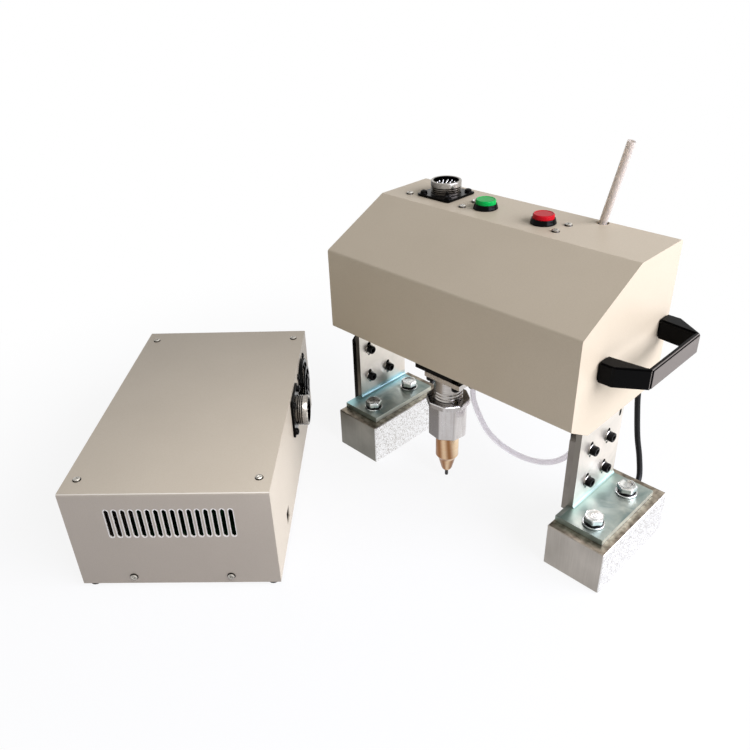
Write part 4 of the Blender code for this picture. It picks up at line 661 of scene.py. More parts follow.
# %% Finish every solid
SLOT_FINISH = {
    "powder_coat": hood_coat, "zinc_plate": zinc, "plated_block": block_steel, "ground_steel": ground_steel,
    "dark_steel": hard_steel, "motor_steel": laminated, "aluminium": milled_aluminium,
    "black_anodised": anodised, "brass": nut_brass, "black_plastic": black_abs, "green_lens": green_cap,
    "red_lens": red_cap, "black_rubber": cable_rubber, "clear_tube": clear_tube, "board_green": solder_mask,
}
OWN_FINISH = {
    "y_rail_left": ground_rail, "y_rail_right": ground_rail, "y_lead_screw": ground_rail,
    "stylus_body": turned_aluminium, "stylus_cap": turned_aluminium, "stylus_nose": nose_brass,
    "handle_left": satin_nylon, "handle_right": satin_nylon,
    "case_cover": lid_coat, "case_base": case_coat, "chassis_plate_right": brushed_plate,
    "stylus_air_fitting": nickel_screw,
    "hex_bolt_left_front": bolt_zinc, "hex_bolt_left_rear": bolt_zinc,
    "hex_bolt_right_front": bolt_zinc, "hex_bolt_right_rear": bolt_zinc,
}
slot_of = {part["node"]: part["material_slot"] for part in frame["record"]["subparts"]}
for name, solid in node.items():
    for holder in solid.material_slots:
        holder.material = OWN_FINISH.get(name, SLOT_FINISH[slot_of[name]])
print("finished", len(node), "solids in", len(set(slot_of.values())), "slots")

# %% [markdown]
# No edge of the real metal is perfectly sharp. Sheet is rounded where it was folded, blocks and
# plates are broken with a file, and these small roundings draw the thin bright lines along the
# edges in the photograph. A bevel of a few tenths of a millimetre on the sharp edges does it.

# %% Broken edges
EDGE_MM = {
    "hood": 0.7, "case_cover": 0.5, "case_base": 0.4, "foot_bracket_left": 0.5, "foot_bracket_right": 0.5,
    "magnet_block_left": 0.5, "magnet_block_right": 0.5, "chassis_plate_left": 0.4,
    "chassis_plate_right": 0.4, "rear_beam": 0.4, "x_carriage": 0.5, "y_slider": 0.5, "stylus_bracket": 0.4,
    "stylus_clamp": 0.4, "x_motor": 0.5, "y_motor": 0.5, "solenoid_valve": 0.5,
}
SHARP_EDGE = math.radians(35.0)
for name, width in EDGE_MM.items():
    rounding = node[name].modifiers.new("broken_edges", "BEVEL")
    rounding.width = width * MM
    rounding.segments = 2
    rounding.limit_method = "ANGLE"
    rounding.angle_limit = SHARP_EDGE
    rounding.use_clamp_overlap = False
print("edges broken on", len(EDGE_MM), "solids")

# %% [markdown]
# New pieces are surfaces over a grid. Its rows and columns are worked out as one array of
# points, and the faces join each point to its neighbours, round the back too where the form
# is closed. Rows that shrink to one point are merged, so that poles close. A finished piece
# rides on a body of the model, takes its finish, and may stand for the plainer CAD solid in
# its place.

# %% From a grid to a piece
MERGE = 0.002 * MM


def grid_faces(rows, columns, wraps=True):
    """Quads that join each point of a grid to the next row and column, and round to the start."""
    steps = columns if wraps else columns - 1
    row, column = np.meshgrid(np.arange(rows - 1), np.arange(steps), indexing="ij")
    here = row * columns + column
    beside = row * columns + (column + 1) % columns
    return np.stack([here, beside, beside + columns, here + columns], axis=-1).reshape(-1, 4)


def make_piece(name, grids, finish, body, stands_for=(), sharp=35.0):
    """One mesh from closed grids, faces outwards and edges crisp; no body where its ends ride on two."""
    points, faces, count = [], [], 0
    for grid in grids:
        rows, columns = grid.shape[:2]
        points.append(grid.reshape(-1, 3))
        faces.append(grid_faces(rows, columns) + count)
        count += rows * columns
    mesh = bpy.data.meshes.new(name)
    mesh.from_pydata(np.concatenate(points), [], np.concatenate(faces))
    tidy = bmesh.new()
    tidy.from_mesh(mesh)
    bmesh.ops.remove_doubles(tidy, verts=tidy.verts, dist=MERGE)
    bmesh.ops.recalc_face_normals(tidy, faces=tidy.faces)
    tidy.to_mesh(mesh)
    tidy.free()
    mesh.shade_smooth()
    mesh.set_sharp_from_angle(angle=math.radians(sharp))
    mesh.materials.append(finish)
    made = bpy.data.objects.new(name, mesh)
    bpy.context.scene.collection.objects.link(made)
    if body:
        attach(made, body)
    if stands_for:
        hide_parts(*stands_for)
    return made


print("a closed grid of 3 rows and 4 columns has", len(grid_faces(3, 4)), "faces")

# %% [markdown]
# A cord comes before the other pieces, because it has to lie where its CAD solid lies. The
# routes below are the CAD's own points. A Catmull-Rom curve goes through them, and the wall
# of the tube is a ring of points carried along it. The ring needs a sideways direction that
# never flips, so it is taken square to one fixed direction that the route never follows.

# %% Cord tools
SPAN_POINTS = 24
SIDEWAYS_TRIES = 37


def smooth_route(route, step):
    """Points about a step apart on the Catmull-Rom curve through a route, whose ends run straight on.
    A span's point is half of 2b + (c - a)t + (2a - 5b + 4c - d)t^2 + (3b - a - 3c + d)t^3."""
    known = np.array([on_head(*point) for point in route])
    knots = np.vstack([2 * known[0] - known[1], known, 2 * known[-1] - known[-2]])
    a, b, c, d = knots[:-3], knots[1:-2], knots[2:-1], knots[3:]
    t = np.linspace(0, 1, SPAN_POINTS, endpoint=False)[:, None, None]
    curve = 0.5 * (2 * b + (c - a) * t + (2 * a - 5 * b + 4 * c - d) * t ** 2
                   + (3 * b - a - 3 * c + d) * t ** 3)
    line = np.vstack([curve.transpose(1, 0, 2).reshape(-1, 3), known[-1]])
    run = np.concatenate([[0], np.cumsum(np.linalg.norm(np.diff(line, axis=0), axis=1))])
    even = np.linspace(0, run[-1], max(8, round(run[-1] / step)))
    return np.stack([np.interp(even, run, line[:, axis]) for axis in range(3)], axis=1)


def length_of(line):
    """The sum of the straight steps along a run of points."""
    return float(np.linalg.norm(np.diff(line, axis=0), axis=1).sum())


def ring_along(line, radii, sides):
    """Rings square to a line: the centre plus radius times cosine across and sine along the other way."""
    tangent = np.gradient(line, axis=0)
    tangent /= np.linalg.norm(tangent, axis=1)[:, None]
    angles = np.linspace(0, math.pi, SIDEWAYS_TRIES)
    tries = np.array([[math.cos(a) * math.cos(b), math.sin(a) * math.cos(b), math.sin(b)]
                      for a in angles for b in angles])
    fixed = tries[np.abs(tries @ tangent.T).max(axis=1).argmin()]
    across = np.cross(tangent, fixed)
    across /= np.linalg.norm(across, axis=1)[:, None]
    other = np.cross(tangent, across)
    turn = np.linspace(0, 2 * math.pi, sides, endpoint=False)
    reach = np.asarray(radii)[:, None, None]
    ring = np.cos(turn)[:, None] * across[:, None] + np.sin(turn)[:, None] * other[:, None]
    return line[:, None] + reach * ring


def hollow_tube(line, outer, inner, sides=24):
    """A tube's skin: the outer wall along the line, then the bore back again, closed end to end."""
    there = ring_along(line, np.full(len(line), outer), sides)
    back = ring_along(line, np.full(len(line), inner), sides)[::-1]
    return np.concatenate([there, back, there[:1]])


def solid_cord(line, radius, sides=20):
    """A cord's skin: rings along the line, whose end rings shrink to a point."""
    rings = ring_along(line, np.full(len(line), radius), sides)
    ends = np.broadcast_to(line[[0, -1], None], (2, sides, 3))
    return np.concatenate([ends[:1], rings, ends[1:]])


ruler = smooth_route([(0, 0, 0), (10, 0, 0)], MM)
print("a straight route of 10 mm measures", round(length_of(ruler) / MM, 3), "mm")

# %% [markdown]
# The clear air tube runs from the valve inside the hood down in a bow and up to the stylus.
# One end stays with the hood and the other travels with the stylus. The tube is made in two
# runs, split at a share of its length, and neither run rides on a body.
# The clear 8 mm hose feeds the valve and leaves the hood through its hole, and each magnet
# has a black lead that climbs behind its foot into the hood.

# %% The air tube's bow
LOOP_ROUTE = (
    (168.9, 43.0, 125.9), (168.9, 43.0, 119.0), (171.0, 43.0, 109.0), (178.5, 43.4, 94.5),
    (189.5, 43.8, 80.0), (205.5, 44.4, 71.0), (226.5, 45.0, 67.2), (246.9, 46.0, 68.8),
    (264.7, 47.0, 75.5), (278.0, 48.5, 85.8), (286.4, 49.5, 98.0), (288.6, 50.0, 107.5),
    (288.6, 50.0, 112.1),
)
TUBE = 3.0 * MM
TUBE_BORE = 2.0 * MM
LOOP_SHARE = 0.30
CORD_SHARP = 60.0

loop = smooth_route(LOOP_ROUTE, 1.5 * MM)
part = round(len(loop) * LOOP_SHARE)
stylus_run = loop[:part + 1]
valve_run = loop[part:][::-1]
stylus_tube, valve_tube = [
    make_piece(name, [hollow_tube(line, TUBE, TUBE_BORE)], clear_tube, None,
               ["air_loop_tube"], sharp=CORD_SHARP)
    for name, line in (("air_tube_stylus_run", stylus_run), ("air_tube_valve_run", valve_run))]
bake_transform(valve_tube)
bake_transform(stylus_tube)
print("air tube", round(length_of(loop) / MM), "mm of", 2 * TUBE / MM, "mm tube")

# %% The feed hose
HOSE_ROUTE = (
    (282.0, 50.0, 184.3), (282.0, 50.0, 190.0), (282.4, 53.5, 198.5), (284.0, 69.0, 209.0),
    (284.0, 92.0, 223.0), (279.0, 115.0, 229.0), (271.0, 132.0, 228.5), (261.0, 141.5, 229.0),
    (248.0, 147.0, 233.5), (235.0, 149.5, 248.0), (230.0, 151.0, 268.0), (233.1, 152.2, 289.8),
    (241.9, 152.1, 329.6), (250.7, 152.0, 369.4),
)
HOSE = 4.0 * MM
HOSE_BORE = 2.6 * MM

hose_line = smooth_route(HOSE_ROUTE, 2.0 * MM)
hose = make_piece("feed_hose", [hollow_tube(hose_line, HOSE, HOSE_BORE)], hose_tube, "head",
                  ["air_hose"], sharp=CORD_SHARP)
print("feed hose", round(length_of(hose_line) / MM), "mm")

# %% The magnets' leads
LEAD_OUTSIDE = (
    (14.0, 125.9, 24.0), (14.0, 131.0, 24.0), (11.5, 142.5, 31.0), (5.5, 148.0, 50.0),
    (-1.0, 149.5, 72.0), (-5.5, 150.0, 96.0), (-9.0, 150.0, 123.0), (-9.0, 150.5, 145.0),
)
LEAD_INSIDE = {
    "left": ((8.5, 151.5, 175.0), (20.0, 153.0, 202.0), (45.0, 153.0, 217.0),
             (68.0, 151.0, 222.0), (79.5, 147.0, 231.0), (80.0, 146.5, 239.7)),
    "right": ((298.0, 151.5, 175.0), (285.0, 153.0, 202.0), (256.0, 153.5, 215.0),
              (210.0, 152.0, 219.0), (190.8, 147.0, 229.0), (190.0, 146.5, 239.7)),
}
LEAD = 3.0 * MM

for side, face in BRACKET_FACE.items():
    outside = [(face + x, y, z) for x, y, z in LEAD_OUTSIDE]
    lead_line = smooth_route(outside + list(LEAD_INSIDE[side]), 2.5 * MM)
    lead = make_piece("lead_" + side, [solid_cord(lead_line, LEAD)], cable_rubber, "head",
                      ["magnet_lead_" + side], sharp=CORD_SHARP)
    print(side, "magnet lead", round(length_of(lead_line) / MM), "mm")

# %% [markdown]
# Bolts, screws, buttons and the stylus are all forms about an axis. A row of such a form has
# a radius, a height and a crispness. Crispness 0 is a circle. Above 0 the row is a polygon
# with that many rounded corners: the reach in each direction is the radius over the p-norm of
# how far that direction leans to each flat, which tends to a sharp polygon as p grows.

# %% Forms about an axis
def turned_form(rows, sides=72, corners=6, first_flat=0.0):
    """A grid of rings: reach = radius / (sum of max(0, cos(angle to each flat)) ** p) ** (1 / p)."""
    angle = np.linspace(0, 2 * math.pi, sides, endpoint=False)
    flats = first_flat + 2 * math.pi * np.arange(corners) / corners
    lean = np.clip(np.cos(angle[:, None] - flats), 0, None)
    radius, height, crisp = np.array([(*row, 0)[:3] for row in rows], float).T
    power = np.clip(crisp, 1, None)[:, None]
    polygon = 1 / (lean[None] ** power[..., None]).sum(axis=-1) ** (1 / power)
    reach = radius[:, None] * np.where(crisp[:, None] > 0, polygon, 1.0)
    rise = np.broadcast_to(height[:, None], reach.shape)
    return np.stack([reach * np.cos(angle), reach * np.sin(angle), rise], axis=-1) * MM


def stand(grid, place, axis=UP, roll=0.0):
    """Turns a form so that its Z points along an axis and its Y goes up or back, rolls it, sets it down."""
    axis = np.asarray(axis, float)
    side = np.cross(UP if abs(axis[2]) < 0.9 else (0.0, 1.0, 0.0), axis)
    side /= np.linalg.norm(side)
    other = np.cross(axis, side)
    first = side * math.cos(roll) + other * math.sin(roll)
    second = other * math.cos(roll) - side * math.sin(roll)
    return place + grid[..., :1] * first + grid[..., 1:2] * second + grid[..., 2:] * axis


hexagon = turned_form([(1.0, 0.0, 400)]) / MM
print("a hexagon 2 mm across flats is", round(2 * np.abs(hexagon[..., :2]).max(), 2), "mm across corners")

# %% [markdown]
# A hexagon bolt head is forged: its top is a shallow dish inside a turned chamfer, and its
# corners are a little round. Under it lie a split spring washer and a flat washer. The spring
# washer is drawn black and a little wide, so that it also stands in for the shade in the gap
# under the head: partly a real washer, partly painted shade. A tight bolt closes the spring
# washer's split, so its ring is drawn whole. A bolt is left wherever it comes tight, so the
# corners of the front bolts and of the rear bolts point different ways.

# %% Hexagon bolts with their washers
FLANGE_TOP = 54.3
BOLT_X = 25.9
BOLT_Y = {"front": 20.8, "rear": 82.0}

washer_form = turned_form([(0.0, 0.3), (10.3, 0.3), (10.5, 0.6), (10.5, 1.9), (10.2, 2.2), (0.0, 2.2)])
spring_form = turned_form([(0.0, 2.2), (8.9, 2.2), (9.2, 2.5), (9.2, 3.9), (8.9, 4.1), (0.0, 4.1)])
head_rows = [(0.0, 4.1), (7.9, 4.1), (8.4, 4.4, 26), (8.5, 4.8, 30), (8.5, 8.7, 30), (8.42, 9.2, 24),
             (7.95, 9.9, 10), (7.3, 10.05), (6.6, 10.0), (5.9, 9.55), (3.0, 9.4), (0.0, 9.4)]
head_form = turned_form(head_rows, 96)
shank_form = turned_form([(0.0, -11.5), (4.6, -11.5), (5.0, -11.0), (5.0, 2.3), (0.0, 2.3)], 32)
BOLT_ROLL = {"front": 0.35, "rear": 0.95}
for side, face in BRACKET_FACE.items():
    for end, y in BOLT_Y.items():
        at = on_head(face + BOLT_X, y, FLANGE_TOP)
        forms = [stand(form, at, roll=BOLT_ROLL[end]) for form in (shank_form, washer_form, head_form)]
        make_piece(f"bolt_{side}_{end}", forms, bolt_zinc, "head", [f"hex_bolt_{side}_{end}"])
        # The spring washer, black and a little wide, also draws painted shade under the head.
        make_piece(f"spring_washer_{side}_{end}", [stand(spring_form, at)], oxide_screw, "head")
print("bolts:", len(BRACKET_FACE) * len(BOLT_Y))

# %% [markdown]
# The brackets hang on the chassis by M5 socket cap screws, black from their oxide bath, with
# thin bright washers that bridge the height slots. The head is knurled, its top edge is
# rounded, and its socket is a hexagon of a little over 4 mm. The knurl is fine ridges: the
# reach of the two side rows swells and shrinks with the angle.

# %% Socket cap screws on the brackets
SCREW_PLACES = {
    "left": ((41.4, 79.1), (71.9, 79.1), (41.4, 115.7), (71.9, 115.7)),
    "right": ((47.0, 75.9), (77.5, 75.9), (47.0, 113.1), (77.5, 113.1)),
}
KNURL_RIDGES = 24
KNURL_SHARE = 0.012
FACE_GAP = 0.05
OUT_OF_BRACKET = (1, 0, 0)

cap_screw_rows = [(0.0, 1.2), (4.6, 1.2), (4.8, 1.5), (4.8, 5.7), (4.6, 6.3), (4.1, 6.6), (2.9, 6.6),
                  (2.5, 6.5, 40), (2.3, 6.1, 60), (2.3, 3.6, 60), (0.0, 3.0)]
cap_screw_form = turned_form(cap_screw_rows, 96)
knurl_angle = np.linspace(0, 2 * math.pi, 96, endpoint=False)
ridges = 1 + KNURL_SHARE * np.sign(np.sin(KNURL_RIDGES * knurl_angle))
cap_screw_form[2:4, :, :2] *= ridges[None, :, None]
thin_washer_rows = [(2.7, 0.0), (5.8, 0.0), (6.0, 0.2), (6.0, 1.0), (5.8, 1.2), (2.7, 1.2), (2.7, 0.0)]
thin_washer_form = turned_form(thin_washer_rows, 48)
for side, face in BRACKET_FACE.items():
    for n, (y, z) in enumerate(SCREW_PLACES[side]):
        at = on_head(face + FACE_GAP, y, z)
        screw = stand(cap_screw_form, at, OUT_OF_BRACKET, 0.4 + 0.5 * n)
        make_piece(f"cap_screw_{side}_{n}", [screw], oxide_screw, "head")
        washer = stand(thin_washer_form, at, OUT_OF_BRACKET)
        make_piece(f"cap_washer_{side}_{n}", [washer], nickel_screw, "head")
print("cap screws:", sum(len(places) for places in SCREW_PLACES.values()))

# %% [markdown]
# Small pan head screws hold the hood and the controller's cover. A cross recess is cut with a
# tapered punch, so the head is a dome with two crossing grooves that get shallower outwards.
# The dome is a fine grid of rings, and the groove's depth is taken off wherever a point lies
# within half a groove's width of either line of the cross. Under each head lies a thin black
# ring, which is painted shade: it draws the dark line round the head.

# %% Pan head screws with a cross recess
SHADOW_RING_HIGH = 0.35
BRIM = 0.35
DOME_SHARE = 0.92
GROOVE_WALL = 0.05
CROSS_DEPTH = 0.55


def pan_head(radius, height, groove=0.28, reach=0.62):
    """A dome less a cross that fades outwards. Its height is b + (1 - b) times the root of 1 - (s r)^2,
    where b is the brim and s is the share of a half ball that the dome takes up."""
    share = np.concatenate([np.linspace(0, 1, 26), [1.0]])
    angle = np.linspace(0, 2 * math.pi, 64, endpoint=False)
    x = share[:, None] * np.cos(angle)
    y = share[:, None] * np.sin(angle)
    dome = BRIM + (1 - BRIM) * np.sqrt(1 - (DOME_SHARE * share[:, None]) ** 2)
    narrow = np.minimum(np.abs(x), np.abs(y))
    wide = np.maximum(np.abs(x), np.abs(y))
    cross = np.clip((groove / 2 - narrow) / GROOVE_WALL, 0, 1) * np.clip((reach - wide) / reach, 0, 1)
    rise = height * (dome - CROSS_DEPTH * cross)
    rise[-1] = 0.0
    return np.stack([radius * x, radius * y, rise], axis=-1) * MM


def pan_screws(stem, places, axis, radius, height, finish, body):
    """One screw at each place, each turned a little more than the last, as fitted by hand."""
    wide = radius + 0.6
    # A thin black ring under each head: painted shade round the screw.
    seat = turned_form([(0.0, 0.0), (wide, 0.0), (wide + 0.1, 0.1), (wide, SHADOW_RING_HIGH), (0.0, SHADOW_RING_HIGH)], 48)
    form = pan_head(radius, height)
    lift = FACE_GAP * MM * np.asarray(axis, float)
    shadow_rings = [stand(seat, at + lift, axis) for at in places]
    make_piece(stem + "_seats", shadow_rings, oxide_screw, body)
    heads = [stand(form, at + 4 * lift, axis, 0.5 + 1.1 * n) for n, at in enumerate(places)]
    make_piece(stem, heads, finish, body)


HOOD_SCREW_PLACES = ((25.5, 102.5), (98.6, 103.5), (98.6, 124.5), (212, 103), (212, 125))
CASE_FOOT_SCREWS = 13.6
hood_screws = [on_head(x, y, HOOD_TOP) for x, y in HOOD_SCREW_PLACES]
cover_screws = [on_case(x, y, CASE_TOP) for x in (12.0, 180.0) for y in (21.0, 289.0)]
front_screws = [on_case(x, 0.0, CASE_FOOT_SCREWS) for x in (51.0, 145.0)]
rear_screws = [on_case(x, CASE_DEPTH, CASE_FOOT_SCREWS) for x in (51.0, 145.0)]
for stem, places, axis, radius, height, body in (
        ("hood_screws", hood_screws, UP, 3.4, 2.3, "head"),
        ("case_cover_screws", cover_screws, UP, 3.3, 2.1, "controller"),
        ("case_front_screws", front_screws, -CASE_DEEP, 3.3, 2.1, "controller"),
        ("case_rear_screws", rear_screws, CASE_DEEP, 3.1, 2.0, "controller")):
    pan_screws(stem, places, axis, radius, height, nickel_screw, body)
    print(stem, len(places))

# %% Screws of the sockets and the fan
SOCKET_SCREW = 17.0
FAN_SCREW = 25.0
SCREW_SEAT = 2.8 * MM
corners = [(a, b) for a in (-1, 1) for b in (-1, 1)]
head_socket_screws = [HEAD_SOCKET + np.array([a, b, 0]) * SOCKET_SCREW * MM + UP * SCREW_SEAT
                      for a, b in corners]
case_socket_screws = [CASE_SOCKET + (a * CASE_DEEP + b * UP) * SOCKET_SCREW * MM + CASE_ALONG * SCREW_SEAT
                      for a, b in corners]
fan_screws = [on_case(CASE_WIDE, 243.0 + a * FAN_SCREW, 78.0 + b * FAN_SCREW) for a, b in corners]
for stem, places, axis, radius, height, body in (
        ("head_socket_screws", head_socket_screws, UP, 3.7, 3.2, "head"),
        ("case_socket_screws", case_socket_screws, CASE_ALONG, 3.7, 3.2, "controller"),
        ("case_fan_screws", fan_screws, CASE_ALONG, 3.2, 2.2, "controller")):
    pan_screws(stem, places, axis, radius, height, oxide_screw, body)
    print(stem, len(places))

# %% [markdown]
# The stylus is the part that marks, and it is what the eye goes to under the hood. Its
# aluminium neck has three thread grooves, the cap is an octagon with a wider rim, and the nose
# is brass that tapers to the hardened pin. All are forms about one axis, so the cap is rows of
# crisp octagons and the rest are circles. Small chamfers catch the light as the real edges do.

# %% The stylus
STYLUS = on_head(146.0, 30.5, 0.0)
NECK = 15.4
THREAD_FIRST = 112.4
THREAD_PITCH = 3.65
OCTAGON = 40
BODY_FLAT = math.radians(-9.0)
RIM_FLAT = math.radians(7.5)


def thread_rows(radius, first, pitch, count, depth):
    """Rows of a few grooves: out, in, in, out, a quarter of the pitch apart."""
    rows = []
    for i in range(count):
        z = first + i * pitch
        rows += [(radius, z), (radius - depth, z + 0.25 * pitch), (radius - depth, z + 0.5 * pitch),
                 (radius, z + 0.75 * pitch)]
    return rows


def stylus_piece(name, forms, finish, solid, body="y_carriage", sharp=25.0):
    """Forms about the stylus axis as one piece that stands for its plainer solid."""
    make_piece(name, [stand(form, STYLUS) for form in forms], finish, body, [solid], sharp=sharp)


neck_rows = [(0.0, 111.3), (14.9, 111.3), (NECK, 111.8)]
neck_rows += thread_rows(NECK, THREAD_FIRST, THREAD_PITCH, 3, 1.0)
neck_rows += [(NECK, 123.4), (NECK, 175.2), (14.6, 176.0), (0.0, 176.0)]
stylus_piece("stylus_neck", [turned_form(neck_rows, 96)], turned_aluminium, "stylus_body")

octagon_rows = [(0.0, 66.2), (10.3, 66.2), (18.6, 66.2), (19.4, 66.6, OCTAGON), (19.95, 67.4, OCTAGON),
                (19.95, 104.6, OCTAGON), (0.0, 104.6)]
rim_rows = [(0.0, 104.4), (19.6, 104.4), (21.3, 104.6, OCTAGON), (22.4, 105.4, OCTAGON),
            (22.4, 109.8, OCTAGON), (21.7, 110.8, OCTAGON), (20.8, 111.0, OCTAGON), (15.8, 111.0),
            (0.0, 111.0)]
octagons = [turned_form(octagon_rows, 128, 8, BODY_FLAT), turned_form(rim_rows, 128, 8, RIM_FLAT)]
stylus_piece("stylus_octagon_cap", octagons, octagon_aluminium, "stylus_cap", sharp=20.0)

nose_rows = [(0.0, 13.6), (2.2, 13.6), (2.2, 13.0), (2.8, 13.0), (4.4, 14.2), (5.6, 16.0), (6.2, 17.6),
             (9.6, 30.2), (10.3, 32.0), (12.0, 34.6), (12.65, 35.6), (12.65, 64.6), (12.2, 65.6),
             (11.0, 65.9), (0.0, 65.9)]
stylus_piece("stylus_brass_nose", [turned_form(nose_rows, 96)], nose_brass, "stylus_nose")

pin_rows = [(0.0, 5.0), (0.8, 5.0), (1.35, 5.25), (1.8, 5.75), (1.9, 6.3), (1.9, 84.0), (8.4, 84.0),
            (8.7, 84.3), (8.7, 95.7), (8.4, 96.0), (0.0, 96.0)]
stylus_piece("stylus_pin", [turned_form(pin_rows, 40)], hard_steel, "marking_pin", "pin")
print("stylus axis at", STYLUS.round(4))

# %% [markdown]
# Air pushes the pin down, and a coil spring of 1 mm wire brings it back. The coil is a round
# cord whose line is a helix. The spring really gets shorter when the pin strikes; here it rides
# on the carriage as a fixed coil with a mesh of its own.

# %% The return spring
SPRING_LOW = 40.8
SPRING_HIGH = 83.2
SPRING_RADIUS = 5.5
SPRING_TURNS = 7
SPRING_WIRE = 0.5 * MM

around = np.linspace(0, 2 * math.pi * SPRING_TURNS, 24 * SPRING_TURNS + 1)
climb = SPRING_LOW + (SPRING_HIGH - SPRING_LOW) * around / around[-1]
coil = np.stack([SPRING_RADIUS * np.cos(around), SPRING_RADIUS * np.sin(around), climb], axis=-1)
helix = STYLUS + coil * MM
spring = make_piece("pin_spring", [solid_cord(helix, SPRING_WIRE, 10)], ground_steel, "y_carriage",
                    ["return_spring"], sharp=CORD_SHARP)
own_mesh(spring)
print("spring wire", round(length_of(helix) / MM), "mm")

# %% The clamp's screws
CLAMP_UNDER = 138.0
CLAMP_SCREW_PLACES = ((-13.0, -14.0), (21.0, -14.0), (-13.0, 14.0))
clamp_screws = [STYLUS + np.array([x, y, CLAMP_UNDER]) * MM for x, y in CLAMP_SCREW_PLACES]
small_cap_rows = [(0.0, 0.0), (4.3, 0.0), (4.5, 0.3), (4.5, 4.2), (4.2, 4.7), (2.8, 4.7), (2.3, 4.6, 40),
                  (2.1, 4.2, 60), (2.1, 2.2, 60), (0.0, 1.8)]
small_cap_form = turned_form(small_cap_rows)
grids = [stand(small_cap_form, at - UP * FACE_GAP * MM, -UP, 0.3 + 0.7 * n)
         for n, at in enumerate(clamp_screws)]
make_piece("clamp_screws", grids, oxide_screw, "y_carriage")
print("clamp screws:", len(grids))

# %% [markdown]
# The push-buttons are ordinary 22 mm panel switches. The bezel is a glossy black cone that
# screws down on the panel, with the switch body below it inside the hood. The cap is a short
# drum of tinted plastic: a raised rim runs round its flat top, and its foot disappears into
# the bezel. On a drum the edge radius is what one sees, so the rim has several rows.

# %% Push-buttons
BUTTON_PLACES = {"green": (119.5, 115.5, green_cap), "red": (189.7, 115.5, red_cap)}
SEAT = 289.8
BODY_DEEPER = 1.2

bezel_rows = [(0.0, -15.1), (8.6, -15.1, 20), (8.8, -14.9, 20), (8.8, -13.8, 20), (10.7, -13.6),
              (10.9, -13.4), (10.9, 0.0), (12.7, 0.0), (12.9, 0.25), (12.9, 0.9), (12.6, 1.5), (11.9, 4.3),
              (11.7, 4.9), (11.4, 5.2), (11.0, 5.2), (11.0, 1.5), (5.3, 1.5), (5.3, -11.2), (0.0, -11.2)]
bezel_form = turned_form(bezel_rows, 96, 4)
body_rows = [(0.0, -27.5), (9.7, -27.5, 16), (10.0, -27.2, 16), (10.0, -14.8, 16), (9.7, -14.4, 16),
             (0.0, -14.4)]
body_form = turned_form(body_rows, 96, 4)
body_form[..., 1] *= BODY_DEEPER
cap_rows = [(0.0, -8.0), (4.8, -8.0), (5.0, -7.8), (5.0, 4.3), (10.5, 4.3), (10.7, 4.5), (10.7, 8.0),
            (10.6, 8.6), (10.3, 9.1), (9.8, 9.4), (9.2, 9.5), (8.9, 9.4), (8.6, 9.1), (0.0, 9.1)]
cap_form = turned_form(cap_rows, 96)
for colour, (x, y, tint) in BUTTON_PLACES.items():
    at = on_head(x, y, SEAT)
    bezel = [stand(form, at) for form in (bezel_form, body_form)]
    make_piece(colour + "_bezel", bezel, black_abs, "head", [colour + "_button_bezel"])
    make_piece(colour + "_cap", [stand(cap_form, at)], tint, colour + "_cap",
               [colour + "_button_cap"])

# %% [markdown]
# A round multi-pole socket is a square flange with a threaded barrel. The thread is only three
# turns high and blunt, so each turn is one rounded ring. Inside stands a black insulator with
# silver plated pins in two circles round one in the middle, each pin with a domed end. The
# flange is a crisp four-cornered row of the same form as the bolt heads.

# %% Sockets
SQUARE = 22
BARREL = 16.7
GROOVE = 15.8
THREAD_TURNS = (5.4, 7.5, 9.6)
CONTACT_RINGS = ((0.0, 1), (4.8, 6), (9.6, 12))

shell_rows = [(13.7, 16.2), (13.7, -18.0), (14.8, -18.0), (15.0, -17.8), (15.0, 0.3), (22.3, 0.3, SQUARE),
              (22.5, 0.5, SQUARE), (22.5, 2.3, SQUARE), (22.0, 2.8, SQUARE), (17.6, 2.8), (BARREL, 3.4),
              (BARREL, 5.2)]
for low in THREAD_TURNS:
    shell_rows += [(BARREL, low), (GROOVE, low + 0.5), (GROOVE, low + 0.9), (BARREL, low + 1.4)]
shell_rows += [(BARREL, 15.9), (16.5, 16.3), (16.2, 16.5), (14.1, 16.5), (13.7, 16.2)]
shell_form = turned_form(shell_rows, 128, 4)
disc_form = turned_form([(0.0, -7.5), (13.2, -7.5), (13.4, -7.3), (13.4, 4.1), (13.0, 4.5), (0.0, 4.5)])
pin_form = turned_form([(0.0, 4.3), (0.9, 4.3), (0.9, 13.2), (0.7, 13.7), (0.3, 14.0), (0.0, 14.0)], 12)
contacts = []
for radius, count in CONTACT_RINGS:
    for i in range(count):
        angle = 2 * math.pi * i / count
        contacts.append(pin_form + radius * MM * np.array([math.cos(angle), math.sin(angle), 0.0]))
for stem, at, axis, body, finish in (("head", HEAD_SOCKET, UP, "head", head_socket_metal),
                                     ("case", CASE_SOCKET, CASE_ALONG, "controller", case_socket_metal)):
    make_piece(stem + "_socket_barrel", [stand(shell_form, at, axis)], finish, body,
               [stem + "_socket_shell"], sharp=30.0)
    make_piece(stem + "_socket_insulator", [stand(disc_form, at, axis)], black_abs, body,
               [stem + "_socket_insert"])
    make_piece(stem + "_socket_contacts", [stand(form, at, axis) for form in contacts], contact_silver, body,
               [stem + "_socket_insert"])
print("socket contacts:", len(contacts))

# %% [markdown]
# The light in the photograph comes from a large window to the right: the head's right hand
# sides are nearly white, its tops are warm grey, and its front faces are in soft shade. The
# controller has two smaller and nearer lamps: one above its front, so that its lid is brighter
# towards the front edge, and a weak one at its right. A dim white world fills the shade. For
# the camera, and for the rays that metal and plastic send out, the world is full white, so
# they show a pale room. The head's lamp leaves the controller out, and the controller's lamps
# light only the controller. A lamp's power follows from its distance: pi squared times distance
# squared lights a card to 1. Daylight is a little bluer than the light that the room throws
# back, so the head's lamp is too.

